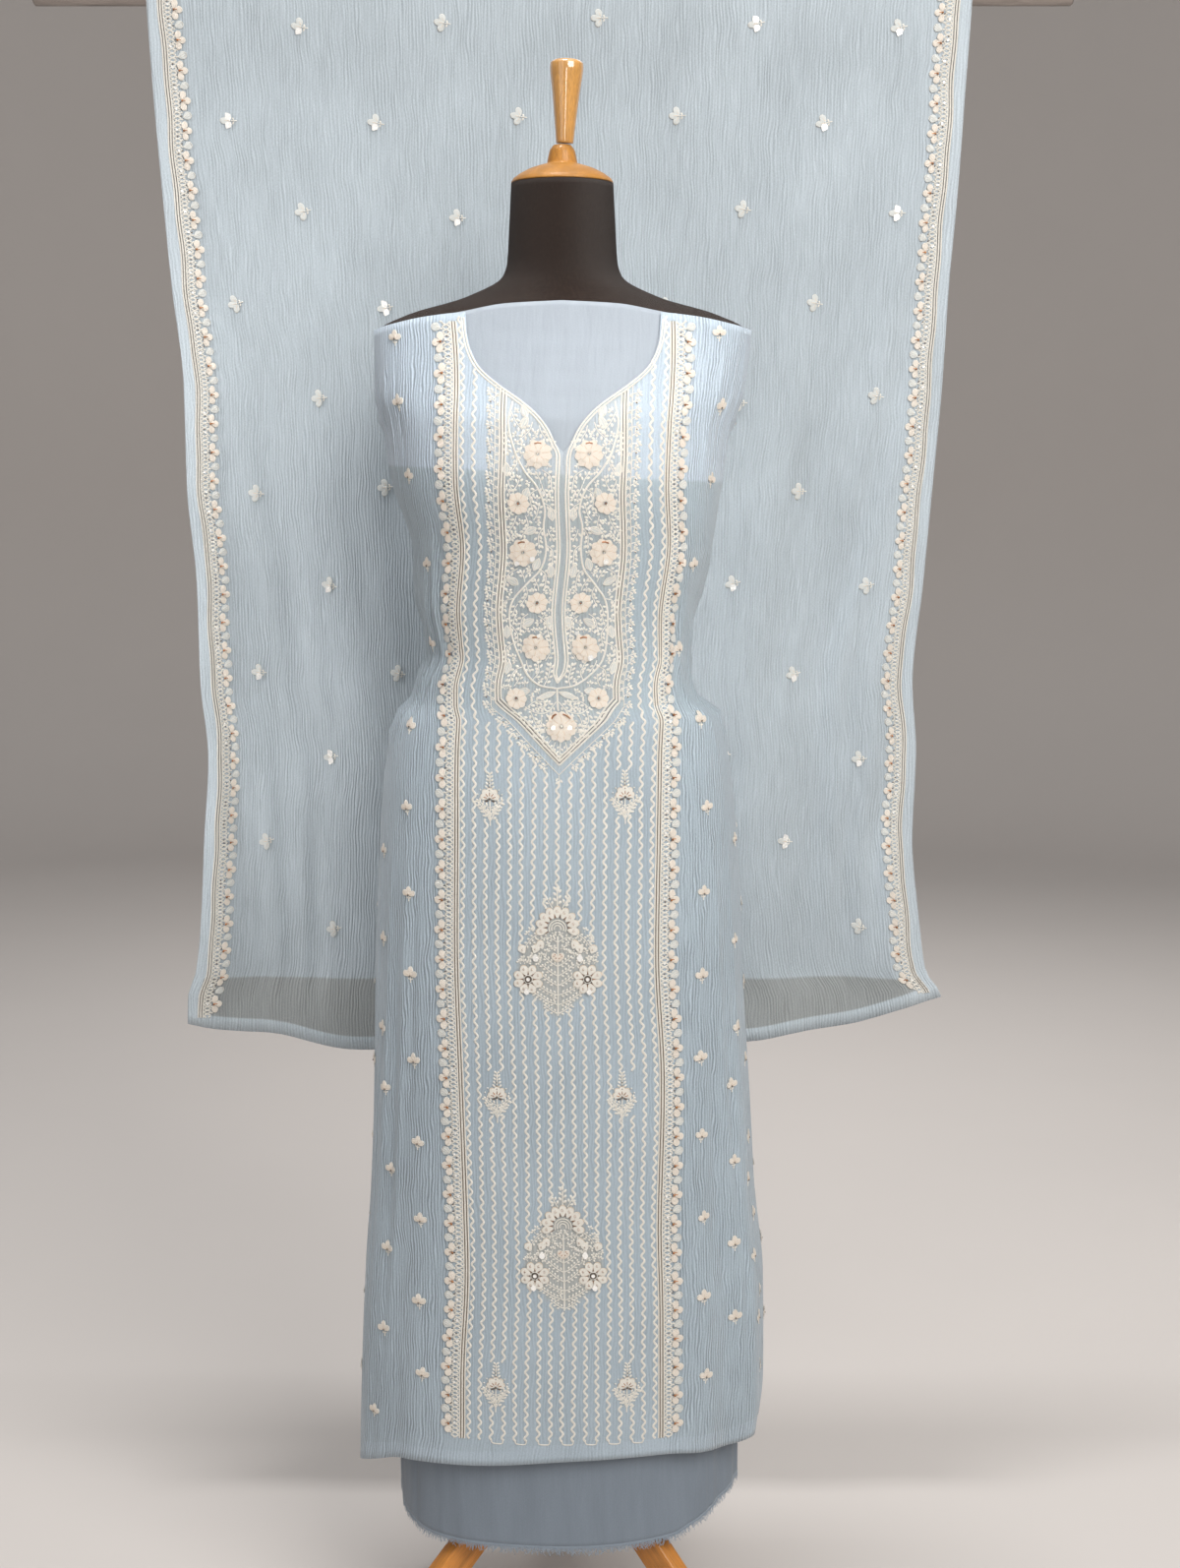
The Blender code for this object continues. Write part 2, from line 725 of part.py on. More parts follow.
def add_leg(name, angle):
    """A splayed leg: its side outline, extruded to its thickness and turned to its angle."""
    inner = HUB_RADIUS + SEAT_GAP
    outline = (
        (inner, LEG_TOP),
        (inner, LEG_TOP - LEG_DROP),
        (inner + LEG_TOP - LEG_DROP, 0.0),
        (LEG_REACH - 0.003, 0.0),
        (LEG_REACH, 0.006),
        (LEG_REACH - 0.002, LEG_TOP + inner - LEG_REACH + 0.002),
    )
    curve = bpy.data.curves.new(name, "CURVE")
    curve.dimensions = "2D"
    curve.fill_mode = "BOTH"
    curve.extrude = LEG_THICKNESS / 2
    side = curve.splines.new("POLY")
    side.points.add(len(outline) - 1)
    for point, (out, up) in zip(side.points, outline):
        point.co = (out, up, 0, 1)
    side.use_cyclic_u = True
    leg = add_object(name, curve, "leg_wood")
    stand = Matrix.Rotation(math.pi / 2, 4, "X")
    leg.matrix_world = (
        Matrix.Translation((FORM_X, FORM_Y, 0)) @ Matrix.Rotation(angle * RADIANS, 4, "Z") @ stand
    )
    return leg


def add_rail():
    """The straight round rail that the dupatta hangs on."""
    mesh = bpy.data.meshes.new("rail")
    tube = bmesh.new()
    bmesh.ops.create_cone(tube, cap_ends=True, segments=24, radius1=RAIL_RADIUS,
                          radius2=RAIL_RADIUS, depth=RAIL_LENGTH)
    turn = Matrix.Rotation(math.pi / 2, 4, "Y")
    place = Matrix.Translation((RAIL_OFFSET_X, RAIL_BEHIND, RAIL_HEIGHT))
    bmesh.ops.transform(tube, matrix=place @ turn, verts=tube.verts)
    tube.to_mesh(mesh)
    tube.free()
    mesh.shade_smooth()
    mesh.set_sharp_from_angle(angle=math.radians(40))
    return add_object("rail", mesh, "steel")


def build():
    start_clean()
    suit = bpy.data.collections.new("salwar_kameez_suit")
    bpy.context.scene.collection.children.link(suit)
    add_kameez()
    add_lining()
    add_bottom_cloth()
    add_dupatta()
    add_torso()
    add_head_wood()
    add_upright()
    for name, angle in LEG_ANGLES.items():
        add_leg(name, angle)
    add_rail()
    bpy.context.view_layer.update()


build()
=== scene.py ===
"""Looks of a three-piece salwar kameez suit, dressed on a limbless dress form.

Laid out as an add-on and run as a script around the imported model. Metres, +Z up; the suit's front
faces -Y. Cloths are thin shells on their solids' forms, and all stitching is sewn to them through
a ground: a map from a place on the flat cloth, in metres, to a place and a direction on the shell.
"""

import math
from functools import lru_cache

import bmesh
import bpy
import numpy as np
from mathutils import Matrix, Vector


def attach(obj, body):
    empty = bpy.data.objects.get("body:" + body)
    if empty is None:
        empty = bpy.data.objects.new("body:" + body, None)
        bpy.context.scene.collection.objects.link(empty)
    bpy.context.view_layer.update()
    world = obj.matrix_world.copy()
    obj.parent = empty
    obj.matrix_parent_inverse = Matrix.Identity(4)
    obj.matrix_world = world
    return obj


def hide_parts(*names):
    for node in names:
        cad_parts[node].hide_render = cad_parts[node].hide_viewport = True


bl_info = {
    "name": "Salwar Kameez Suit",
    "version": (1, 0, 0),
    "blender": (4, 5, 0),
    "location": "View3D > Sidebar > Suit",
    "description": "Cloth, embroidery and dress form of a three-piece suit",
    "category": "Object",
}

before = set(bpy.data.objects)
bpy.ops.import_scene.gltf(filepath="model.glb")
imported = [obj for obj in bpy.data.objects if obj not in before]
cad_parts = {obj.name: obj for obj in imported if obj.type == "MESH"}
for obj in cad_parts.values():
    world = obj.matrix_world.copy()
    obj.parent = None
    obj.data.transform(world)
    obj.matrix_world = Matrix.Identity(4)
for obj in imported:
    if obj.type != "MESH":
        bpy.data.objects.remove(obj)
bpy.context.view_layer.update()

# ------------------------------------------------------------------ sizes of the cloths, in metres

FORM_X = 0.0129           # the dress form's upright axis, from the middle of the set
FORM_Y = -0.0578
RADIANS = math.pi / 180
SOLID_WALL = 0.0016       # wall of the kameez and bottom cloth solids, which sets their laps
CLOTH_GAP = 0.0005
PIECE_GAP = 0.0003        # between parts of the stand that meet
SQUARENESS = 0.12         # how far a cloth's section stands out past an ellipse's corners
KAMEEZ_LAP = 6.0          # degrees past the centre back
BOTTOM_LAP = 8.0
LINING_REACH = 104.0      # degrees round from the centre front, to each side
FOLD_ARM = 0.165          # metres of wall for each radian, to measure a fold's width by
COVER_ARM = 0.12          # metres of the form's cover for each radian
GRID_UP = 0.004           # steps of a wrapped cloth's flat grid, in metres up and degrees round
GRID_ROUND = 0.75
GRID_REACH = 189.0        # degrees that take in both laps
GROUND_HALF = 0.42        # how far sewing places reach round from the centre front
RAIL_Y = FORM_Y + 0.25
RAIL_Z = 1.7835
DUPATTA_BEND = 0.0133     # from the rail's axis to the dupatta's inner face
DUPATTA_WALL = 0.0012
DUPATTA_OUTER = DUPATTA_BEND + DUPATTA_WALL
DUPATTA_GAP = 0.0105      # half the distance between the hanging layers
DUPATTA_BACK_BOTTOM = 0.668
DUPATTA_CUT_HALF = 0.455  # half the woven width, for sewing places
DUPATTA_SEWN = (0.632, 0.69)  # heights that the stitching goes down to, in front and behind
FINIAL_LEAN = 1.7         # degrees the finial leans to the right
FINIAL_SHIFT = 0.0025
RAIL_LENGTH = 1.152
RAIL_RADIUS = 0.0125
POLE_RADIUS = 0.0125
HUB_RADIUS = 0.024
HUB_BOTTOM = 0.17
HUB_TOP = 0.242
TORSO_BOTTOM = 0.74
CAP_HEIGHT = 0.0385
FINIAL_HEIGHT = 0.0815
LEG_THICKNESS = 0.02
LEG_REACH = 0.24
LEG_TOP = 0.236
LEG_DROP = 0.048          # depth of a leg's board, measured upright
LEG_ANGLES = {"leg_front_left": 211.0, "leg_front_right": 323.0, "leg_back": 90.0}


class Table:
    """Rows of sizes under named columns, read smoothly between rows by their first column."""

    def __init__(self, columns, *rows):
        self.columns = columns
        self.rows = np.array(sorted(rows))
        steps = np.diff(self.rows[:, 1:], axis=0) / np.diff(self.rows[:, :1], axis=0)
        before, after = steps[:-1], steps[1:]
        total = np.where(before + after == 0, 1, before + after)
        level = np.where(before * after > 0, 2 * before * after / total, 0)
        self.slopes = np.vstack([steps[:1], level, steps[-1:]])

    def at(self, keys, name):
        """The values under a named column at some keys, held at the table's ends."""
        column = self.columns.index(name)
        x, y, slope = self.rows[:, 0], self.rows[:, column], self.slopes[:, column - 1]
        keys = np.clip(keys, x[0], x[-1])
        i = np.clip(np.searchsorted(x, keys, side="right") - 1, 0, len(x) - 2)
        run = x[i + 1] - x[i]
        t = (keys - x[i]) / run
        return (
            (2 * t**3 - 3 * t**2 + 1) * y[i]
            + (t**3 - 2 * t**2 + t) * slope[i] * run
            + (3 * t**2 - 2 * t**3) * y[i + 1]
            + (t**3 - t**2) * slope[i + 1] * run
        )


# Sections: height, then how far the surface stands from the form's axis on each side.
SECTION = ("z", "left", "right", "front", "back")
KAMEEZ = Table(
    SECTION,
    (1.432, 0.18, 0.18, 0.069, 0.082), (1.402, 0.1925, 0.192, 0.08, 0.092),
    (1.339, 0.1915, 0.185, 0.107, 0.1), (1.305, 0.183, 0.1725, 0.121, 0.1),
    (1.25, 0.1752, 0.1635, 0.1275, 0.096), (1.179, 0.155, 0.1525, 0.113, 0.089),
    (1.128, 0.1522, 0.1393, 0.103, 0.084), (1.1, 0.1455, 0.1333, 0.099, 0.081),
    (1.076, 0.14, 0.131, 0.0975, 0.08), (1.052, 0.151, 0.1322, 0.098, 0.083),
    (1.028, 0.159, 0.14, 0.1, 0.09), (1.012, 0.1725, 0.162, 0.103, 0.1),
    (0.98, 0.1828, 0.17, 0.107, 0.108), (0.932, 0.19, 0.1775, 0.112, 0.115),
    (0.827, 0.196, 0.1864, 0.117, 0.121), (0.666, 0.2015, 0.1933, 0.119, 0.123),
    (0.501, 0.2094, 0.2036, 0.121, 0.125), (0.39, 0.2186, 0.2156, 0.123, 0.127),
    (0.277, 0.2236, 0.217, 0.125, 0.129), (0.19, 0.2261, 0.207, 0.126, 0.129),
)
BOTTOM = Table(
    SECTION,
    (1.022, 0.16, 0.1435, 0.0978, 0.088), (1.012, 0.168, 0.157, 0.0998, 0.0942),
    (0.98, 0.1797, 0.1668, 0.104, 0.103), (0.932, 0.187, 0.1743, 0.109, 0.11),
    (0.827, 0.1925, 0.1828, 0.1138, 0.1165), (0.666, 0.19, 0.185, 0.113, 0.116),
    (0.4, 0.184, 0.186, 0.112, 0.1135), (0.133, 0.179, 0.1865, 0.111, 0.111),
)
TORSO = Table(
    ("z", "side", "front", "back"),
    (1.5472, 0.0516, 0.0516, 0.0516), (1.5165, 0.0532, 0.053, 0.0534),
    (1.47, 0.056, 0.0545, 0.057), (1.4553, 0.061, 0.056, 0.061), (1.4348, 0.0995, 0.06, 0.07),
    (1.418, 0.157, 0.0675, 0.078), (1.402, 0.1865, 0.0755, 0.087), (1.339, 0.1805, 0.1015, 0.095),
    (1.305, 0.168, 0.115, 0.095), (1.25, 0.159, 0.122, 0.0913), (1.179, 0.1485, 0.1083, 0.0843),
    (1.128, 0.1365, 0.0985, 0.0795), (1.076, 0.128, 0.093, 0.0755), (1.028, 0.135, 0.0945, 0.083),
    (0.98, 0.154, 0.101, 0.099), (0.932, 0.168, 0.1055, 0.105), (0.88, 0.175, 0.1085, 0.1105),
    (0.82, 0.1775, 0.1102, 0.1118), (0.76, 0.1735, 0.108, 0.1095), (0.74, 0.169, 0.1055, 0.107),
)

# Lower edges by the way they face: 0 is the front, +90 the viewer's right.
KAMEEZ_HEM = Table(
    ("angle", "z"),
    (-186.0, 0.206), (-90.0, 0.19), (-65.0, 0.211), (-43.0, 0.229), (-19.0, 0.233), (4.0, 0.24),
    (30.0, 0.243), (40.0, 0.24), (52.0, 0.236), (65.0, 0.237), (90.0, 0.235), (186.0, 0.206),
)
BOTTOM_HEM = Table(
    ("angle", "z"),
    (-190.0, 0.166), (-140.0, 0.162), (-90.0, 0.152), (-70.0, 0.144), (-48.0, 0.136), (0.0, 0.135),
    (35.0, 0.142), (43.0, 0.15), (59.0, 0.162), (90.0, 0.176), (130.0, 0.168), (190.0, 0.166),
)

# Neck opening of the kameez: half its width, and how high its edge is there.
NECK_MIDDLE = 0.002
NECK_HALF = 0.0975
NECK_EDGE = Table(
    ("half_width", "z"),
    (0.0, 1.279), (0.005, 1.284), (0.014, 1.302), (0.027, 1.318), (0.04, 1.329), (0.064, 1.346),
    (0.082, 1.362), (0.09, 1.376), (0.095, 1.393), (0.0975, 1.416),
)
KAMEEZ_TOP = Table(
    ("angle", "z"),
    (0.0, 1.418), (28.0, 1.416), (40.0, 1.413), (60.0, 1.406), (80.0, 1.402), (130.0, 1.404),
    (186.0, 1.408),
)
LINING_TOP = Table(
    ("angle", "z"),
    (0.0, 1.4285), (16.0, 1.4255), (28.0, 1.4185), (45.0, 1.4095), (75.0, 1.399), (104.0, 1.3985),
)
LINING_BOTTOM = Table(
    ("angle", "z"),
    (-104.0, 1.268), (-40.0, 1.264), (40.0, 1.252), (104.0, 1.248),
)

# Folds: first place's angle and height, last place's angle and height, half width, rise.
KAMEEZ_FOLDS = (
    (34, 0.72, 38, -0.05, 0.03, 0.003), (48, 0.66, 53, -0.05, 0.026, -0.0045),
    (63, 0.8, 67, -0.05, 0.028, 0.0045), (80, 0.82, 84, -0.05, 0.027, -0.004),
    (103, 0.84, 100, -0.05, 0.03, 0.005), (126, 0.82, 122, -0.05, 0.03, -0.005),
    (150, 0.86, 148, -0.05, 0.034, 0.0055), (-48, 0.55, -52, -0.05, 0.028, -0.003),
    (-66, 0.82, -70, -0.05, 0.03, 0.0035), (-84, 0.76, -90, -0.05, 0.026, -0.0035),
    (-106, 0.84, -110, -0.05, 0.03, 0.005), (-130, 0.82, -132, -0.05, 0.03, -0.005),
    (-154, 0.86, -152, -0.05, 0.032, 0.005), (62, 1.2, 118, 1.09, 0.017, 0.0026),
    (58, 1.15, 112, 1.066, 0.015, -0.0022), (60, 1.12, 104, 1.052, 0.015, 0.0024),
    (72, 0.985, 124, 1.052, 0.016, 0.0026), (-62, 1.19, -120, 1.085, 0.017, 0.0026),
    (-60, 1.135, -110, 1.064, 0.015, -0.0022), (-64, 1.095, -102, 1.052, 0.014, 0.0026),
    (-70, 0.975, -124, 1.05, 0.016, 0.0026), (140, 1.28, 168, 1.09, 0.022, 0.0036),
    (-140, 1.28, -168, 1.09, 0.022, 0.0036), (140, 0.86, 166, 1.06, 0.022, 0.0036),
    (-140, 0.86, -166, 1.06, 0.022, 0.0036), (70, 1.318, 112, 1.3, 0.011, 0.0034),
    (-70, 1.316, -112, 1.3, 0.011, 0.0034),
)
BOTTOM_FOLDS = (
    (60, 0.62, 62, -0.1, 0.026, -0.0035), (84, 0.62, 82, -0.1, 0.022, 0.004),
    (104, 0.62, 104, -0.1, 0.022, -0.0035), (-96, 0.6, -94, -0.1, 0.026, 0.003),
    (-150, 0.7, -148, -0.1, 0.034, -0.004), (150, 0.7, 148, -0.1, 0.034, 0.004),
)

# Outline of the dupatta's front layer, from the form's axis.
DUPATTA = Table(
    ("z", "left", "right"),
    (0.59, 0.449, 0.448), (0.646, 0.447, 0.444), (0.676, 0.437, 0.425), (0.735, 0.4295, 0.416),
    (0.84, 0.4225, 0.4055), (0.935, 0.4155, 0.4075), (1.022, 0.4225, 0.4015),
    (1.13, 0.4235, 0.411), (1.245, 0.432, 0.4195), (1.355, 0.4325, 0.4275), (1.465, 0.443, 0.4325),
    (1.572, 0.451, 0.44), (1.68, 0.458, 0.4455), (1.78, 0.462, 0.45), (1.8, 0.4625, 0.4505),
)
DUPATTA_HEM = Table(
    ("across", "z"),
    (-1.0, 0.612), (-0.78, 0.598), (-0.5, 0.58), (0.0, 0.574), (0.47, 0.592), (0.74, 0.61),
    (1.0, 0.646),
)

# Standing folds of the dupatta: place across, half width across, depth at the hem.
DUPATTA_FOLDS = (
    (-0.97, 0.1, -0.007), (-0.8, 0.13, 0.006), (-0.55, 0.16, -0.005), (-0.28, 0.16, 0.006),
    (0.02, 0.18, -0.005), (0.3, 0.16, 0.0055), (0.54, 0.13, -0.006), (0.73, 0.13, 0.008),
    (0.9, 0.1, -0.006),
)

# Finer creases laid over the folds, in the same words: on the front sides, the hips and the back.
KAMEEZ_CREASES = (
    (-47, 1.235, -53, 1.02, 0.0065, -0.0016), (-52, 1.215, -59, 0.985, 0.006, 0.0018),
    (-57, 1.19, -64, 0.96, 0.007, -0.0019), (-62, 1.17, -71, 0.945, 0.0065, 0.0017),
    (-68, 1.15, -78, 0.93, 0.008, -0.0018), (-75, 1.16, -84, 0.955, 0.0075, 0.0019),
    (-83, 1.175, -92, 0.94, 0.0085, -0.0018), (-92, 1.18, -99, 0.93, 0.009, 0.002),
    (48, 1.215, 53, 1.03, 0.006, 0.0014), (54, 1.19, 60, 0.985, 0.0065, -0.0012),
    (60, 1.165, 66, 0.95, 0.007, 0.0017), (67, 1.15, 74, 0.96, 0.0065, -0.0006),
    (74, 1.17, 82, 0.93, 0.008, 0.0018), (84, 1.092, 90, 0.925, 0.0085, -0.0014),
    (92, 1.19, 99, 0.93, 0.009, 0.0019), (47, 1.18, 60, 1.135, 0.0048, 0.0013),
    (48, 1.16, 62, 1.112, 0.0046, 0.0014), (47, 1.138, 62, 1.088, 0.0048, -0.0013),
    (49, 1.116, 63, 1.066, 0.0044, 0.0014), (48, 1.092, 60, 1.046, 0.0044, -0.0012),
    (50, 1.07, 61, 1.028, 0.0042, 0.0012), (-46, 0.93, -47, 0.56, 0.0075, -0.0012),
    (-51, 0.905, -53, 0.38, 0.007, 0.0015), (-56, 0.84, -57, 0.25, 0.008, -0.0016),
    (-61, 0.93, -63, 0.47, 0.0075, 0.0016), (-67, 0.76, -69, 0.2, 0.0085, -0.0018),
    (-73, 0.91, -76, 0.42, 0.008, 0.0017), (-79, 0.7, -83, 0.18, 0.009, -0.0019),
    (-87, 0.88, -92, 0.3, 0.0085, 0.0018), (44, 0.9, 45, 0.48, 0.007, 0.001),
    (49, 0.86, 50, 0.33, 0.007, -0.0014), (54, 0.92, 56, 0.52, 0.0075, 0.0014),
    (59, 0.78, 61, 0.24, 0.008, -0.0016), (65, 0.9, 68, 0.43, 0.008, 0.0016),
    (71, 0.72, 74, 0.21, 0.0085, -0.0018), (78, 0.89, 82, 0.38, 0.0085, 0.0018),
    (87, 0.8, 91, 0.22, 0.009, -0.0018), (98, 0.9, 102, 0.42, 0.01, 0.0019),
    (109, 0.76, 112, 0.2, 0.0095, -0.002), (119, 0.88, 121, 0.36, 0.0105, 0.0019),
    (131, 0.72, 132, 0.21, 0.01, -0.0021), (143, 0.9, 143, 0.34, 0.011, 0.002),
    (155, 0.78, 154, 0.22, 0.01, -0.002), (166, 0.88, 165, 0.3, 0.0105, 0.0018),
    (-100, 0.88, -103, 0.4, 0.01, -0.0019), (-112, 0.76, -115, 0.21, 0.0095, 0.002),
    (-123, 0.88, -125, 0.34, 0.0105, -0.002), (-135, 0.74, -136, 0.21, 0.01, 0.0019),
    (-147, 0.9, -147, 0.36, 0.011, -0.002), (-159, 0.76, -158, 0.22, 0.0105, 0.0019),
    (-169, 0.88, -168, 0.3, 0.01, -0.0018), (-56, 1.385, -58, 1.23, 0.006, -0.0014),
    (-64, 1.39, -67, 1.215, 0.0065, 0.0015), (-73, 1.385, -77, 1.23, 0.007, -0.0015),
    (-84, 1.38, -88, 1.21, 0.0075, 0.0016), (54, 1.39, 55, 1.24, 0.006, 0.0013),
    (62, 1.385, 64, 1.215, 0.0065, -0.0015), (71, 1.39, 75, 1.235, 0.007, 0.0015),
    (82, 1.38, 86, 1.215, 0.0075, -0.0016), (110, 1.37, 122, 1.12, 0.0095, 0.0018),
    (128, 1.38, 138, 1.1, 0.01, -0.0019), (152, 1.37, 156, 1.11, 0.0105, 0.0018),
    (170, 1.35, 170, 1.12, 0.0095, -0.0016), (-110, 1.37, -122, 1.12, 0.0095, -0.0018),
    (-130, 1.38, -139, 1.1, 0.01, 0.0019), (-152, 1.37, -156, 1.11, 0.0105, -0.0018),
    (-169, 1.35, -170, 1.12, 0.0095, 0.0016), (-36, 1.1, -50, 1.062, 0.006, 0.001),
    (36, 1.092, 50, 1.058, 0.006, 0.001), (-30, 1.08, -44, 1.046, 0.0055, -0.0009),
    (-22, 0.72, -27, 0.3, 0.017, -0.0012), (20, 0.76, 24, 0.28, 0.018, 0.0012),
    (2, 0.64, -3, 0.22, 0.019, -0.001),
)
BOTTOM_CREASES = (
    (-58, 0.3, -60, 0.13, 0.01, -0.0016), (-36, 0.28, -33, 0.12, 0.016, 0.001),
    (-12, 0.29, -14, 0.12, 0.019, -0.0009), (18, 0.28, 16, 0.12, 0.017, 0.0009),
    (44, 0.33, 45, 0.13, 0.011, 0.0014), (52, 0.31, 54, 0.12, 0.009, -0.0016),
    (72, 0.34, 74, 0.13, 0.012, 0.0018), (-76, 0.34, -79, 0.13, 0.011, 0.0018),
    (-118, 0.42, -120, 0.12, 0.015, -0.0022), (118, 0.42, 121, 0.12, 0.015, 0.0022),
    (-168, 0.42, -168, 0.12, 0.016, 0.002), (168, 0.4, 167, 0.12, 0.015, -0.002),
    (134, 0.36, 133, 0.12, 0.012, -0.0018), (-134, 0.35, -133, 0.12, 0.013, 0.0018),
)

# Shallow level wrinkles of the lining, all within its own thickness.
LINING_CREASES = (
    (-24, 1.4, 6, 1.394, 0.009, -0.0004), (-16, 1.38, 26, 1.386, 0.008, 0.0004),
    (-20, 1.361, 12, 1.356, 0.009, -0.0004), (-10, 1.341, 20, 1.344, 0.007, 0.0004),
    (-12, 1.322, 8, 1.318, 0.007, -0.0003), (60, 1.38, 96, 1.36, 0.009, 0.0004),
    (-60, 1.38, -96, 1.362, 0.009, -0.0004),
)

# Slanting folds of the dupatta: place across and height at each end, half width, depth.
DUPATTA_CREASES = (
    (0.955, 1.6, 0.8, 1.06, 0.06, 0.0042), (0.9, 1.35, 0.72, 0.82, 0.05, -0.0036),
    (0.99, 1.18, 0.86, 0.7, 0.055, 0.0045), (0.82, 1.0, 0.69, 0.6, 0.06, -0.004),
    (0.7, 1.42, 0.56, 0.86, 0.07, 0.0034), (0.94, 0.9, 0.9, 0.6, 0.04, -0.0036),
    (-0.96, 1.64, -0.8, 1.28, 0.055, 0.0036), (-0.9, 1.48, -0.74, 0.98, 0.06, -0.004),
    (-0.985, 1.15, -0.88, 0.66, 0.05, 0.0044), (-0.79, 1.24, -0.64, 0.76, 0.065, 0.0036),
    (-0.85, 0.96, -0.76, 0.59, 0.045, -0.0038), (-0.56, 1.5, -0.42, 0.9, 0.08, -0.003),
    (-0.7, 0.9, -0.66, 0.59, 0.04, 0.0032), (-0.3, 1.56, -0.18, 1.0, 0.08, 0.0028),
    (0.12, 1.62, 0.04, 1.02, 0.08, -0.0028), (0.38, 1.54, 0.26, 0.88, 0.075, 0.003),
    (-0.12, 1.05, -0.08, 0.64, 0.06, 0.003), (0.2, 1.0, 0.16, 0.64, 0.06, -0.003),
    (0.48, 1.05, 0.44, 0.62, 0.055, 0.0034), (-0.4, 1.05, -0.36, 0.62, 0.055, -0.0034),
)


def smooth(t):
    """0 to 1 with level ends."""
    t = np.clip(t, 0, 1)
    return t * t * (3 - 2 * t)


def bell(t):
    """1 at the middle, 0 at -1 and +1."""
    return np.where(np.abs(t) < 1, np.cos(np.pi * np.clip(t, -1, 1) / 2) ** 2, 0)


def faced(angle):
    """Angles in degrees brought to -180 to 180."""
    return (angle + 180.0) % 360.0 - 180.0


def fold_height(folds, angle, z):
    """How far a wall's folds move it outward at some places."""
    along = faced(angle) * RADIANS * FOLD_ARM
    total = np.zeros(np.broadcast(along, z).shape)
    for angle_1, z_1, angle_2, z_2, half_width, height in folds:
        run_x, run_z = (angle_2 - angle_1) * RADIANS * FOLD_ARM, z_2 - z_1
        off_x, off_z = along - angle_1 * RADIANS * FOLD_ARM, z - z_1
        t = (off_x * run_x + off_z * run_z) / (run_x**2 + run_z**2)
        aside = np.hypot(off_x - run_x * t, off_z - run_z * t)
        ends = smooth(t / 0.3) * smooth((1 - t) / 0.3)
        total += height * bell(aside / half_width) * ends
    return total


def section(table, angle, z):
    """Points of a wrapped cloth's section before its folds, as an array ending in x, y, z."""
    left, right = table.at(z, "left"), table.at(z, "right")
    sine, cosine = np.sin(angle * RADIANS), np.cos(angle * RADIANS)
    depth = np.where(cosine > 0, table.at(z, "front"), table.at(z, "back"))
    x = (right - left) / 2 + (right + left) / 2 * sine * (1 + SQUARENESS * cosine**2)
    y = -depth * cosine * (1 + SQUARENESS * sine**2)
    return np.stack(np.broadcast_arrays(x + FORM_X, y + FORM_Y, z), axis=-1)


def wrapped(table, folds, angle, z):
    """Points of a cloth wrapped once round: its two ends lap at the back without touching."""
    here = section(table, angle, z)
    along = section(table, angle + 0.5, z) - section(table, angle - 0.5, z)
    outward = np.stack([along[..., 1], -along[..., 0], np.zeros_like(along[..., 0])], axis=-1)
    outward /= np.linalg.norm(outward, axis=-1, keepdims=True)
    lap = angle / 360.0 * (SOLID_WALL + CLOTH_GAP)
    return here + outward * (fold_height(folds, angle, z) + lap)[..., None]


def square_to(points):
    """Unit directions square to a surface given as rows and columns of points."""
    across = np.gradient(points, axis=1)
    up = np.gradient(points, axis=0)
    direction = np.cross(across, up)
    return direction / np.linalg.norm(direction, axis=-1, keepdims=True)


def kameez_place(angle, z):
    return wrapped(KAMEEZ, KAMEEZ_FOLDS + KAMEEZ_CREASES, angle, z)


def bottom_place(angle, z):
    return wrapped(BOTTOM, BOTTOM_FOLDS + BOTTOM_CREASES, angle, z)


def kameez_top(angle):
    """Heights of the kameez's upper edge, with the neck opening cut into it."""
    side = KAMEEZ_TOP.at(np.abs(faced(angle)), "z")
    z = side.copy()
    for _ in range(12):
        half_width = np.abs(section(KAMEEZ, angle, z)[..., 0] - FORM_X - NECK_MIDDLE)
        z = (z + np.minimum(side, NECK_EDGE.at(half_width, "z"))) / 2
    half_width = np.abs(section(KAMEEZ, angle, z)[..., 0] - FORM_X - NECK_MIDDLE)
    opened = (np.abs(faced(angle)) <= 60) & (half_width < NECK_HALF - 0.0005)
    return np.where(opened, z, side)


def dupatta_place(across, run):
    """Points of the dupatta. across is -1 to 1; run is the way along the cloth, 0 where it first
    meets the rail's height in front, below zero down the front and above zero over to the back."""
    outer = DUPATTA_OUTER
    turn = np.clip(run / outer, 0, math.pi)
    behind = run > math.pi * outer
    z = RAIL_Z + np.where(run < 0, run, np.where(behind, math.pi * outer - run, 0))
    left, right = DUPATTA.at(z, "left"), DUPATTA.at(z, "right")
    x = FORM_X + (right - left) / 2 + across * (right + left) / 2
    closing = smooth((RAIL_Z - z) / 0.12)
    apart = outer + (DUPATTA_GAP - outer) * closing
    growth = smooth((RAIL_Z - z) / 0.9)
    fold = sum(depth * bell((across - place) / half) for place, half, depth in DUPATTA_FOLDS)
    fold = fold * growth + dupatta_drape(across, z)
    y = RAIL_Y - np.cos(turn) * apart + fold
    return np.stack(np.broadcast_arrays(x, y, z + outer * np.sin(turn)), axis=-1)


def dupatta_drape(across, z):
    """Finer slanting folds of the dupatta."""
    total = 0
    for across_1, z_1, across_2, z_2, half, depth in DUPATTA_CREASES:
        t = (z - z_1) / (z_2 - z_1)
        middle = across_1 + (across_2 - across_1) * t
        ends = smooth(t / 0.35) * smooth((1 - t) / 0.35)
        total = total + depth * bell((across - middle) / half) * ends
    return total


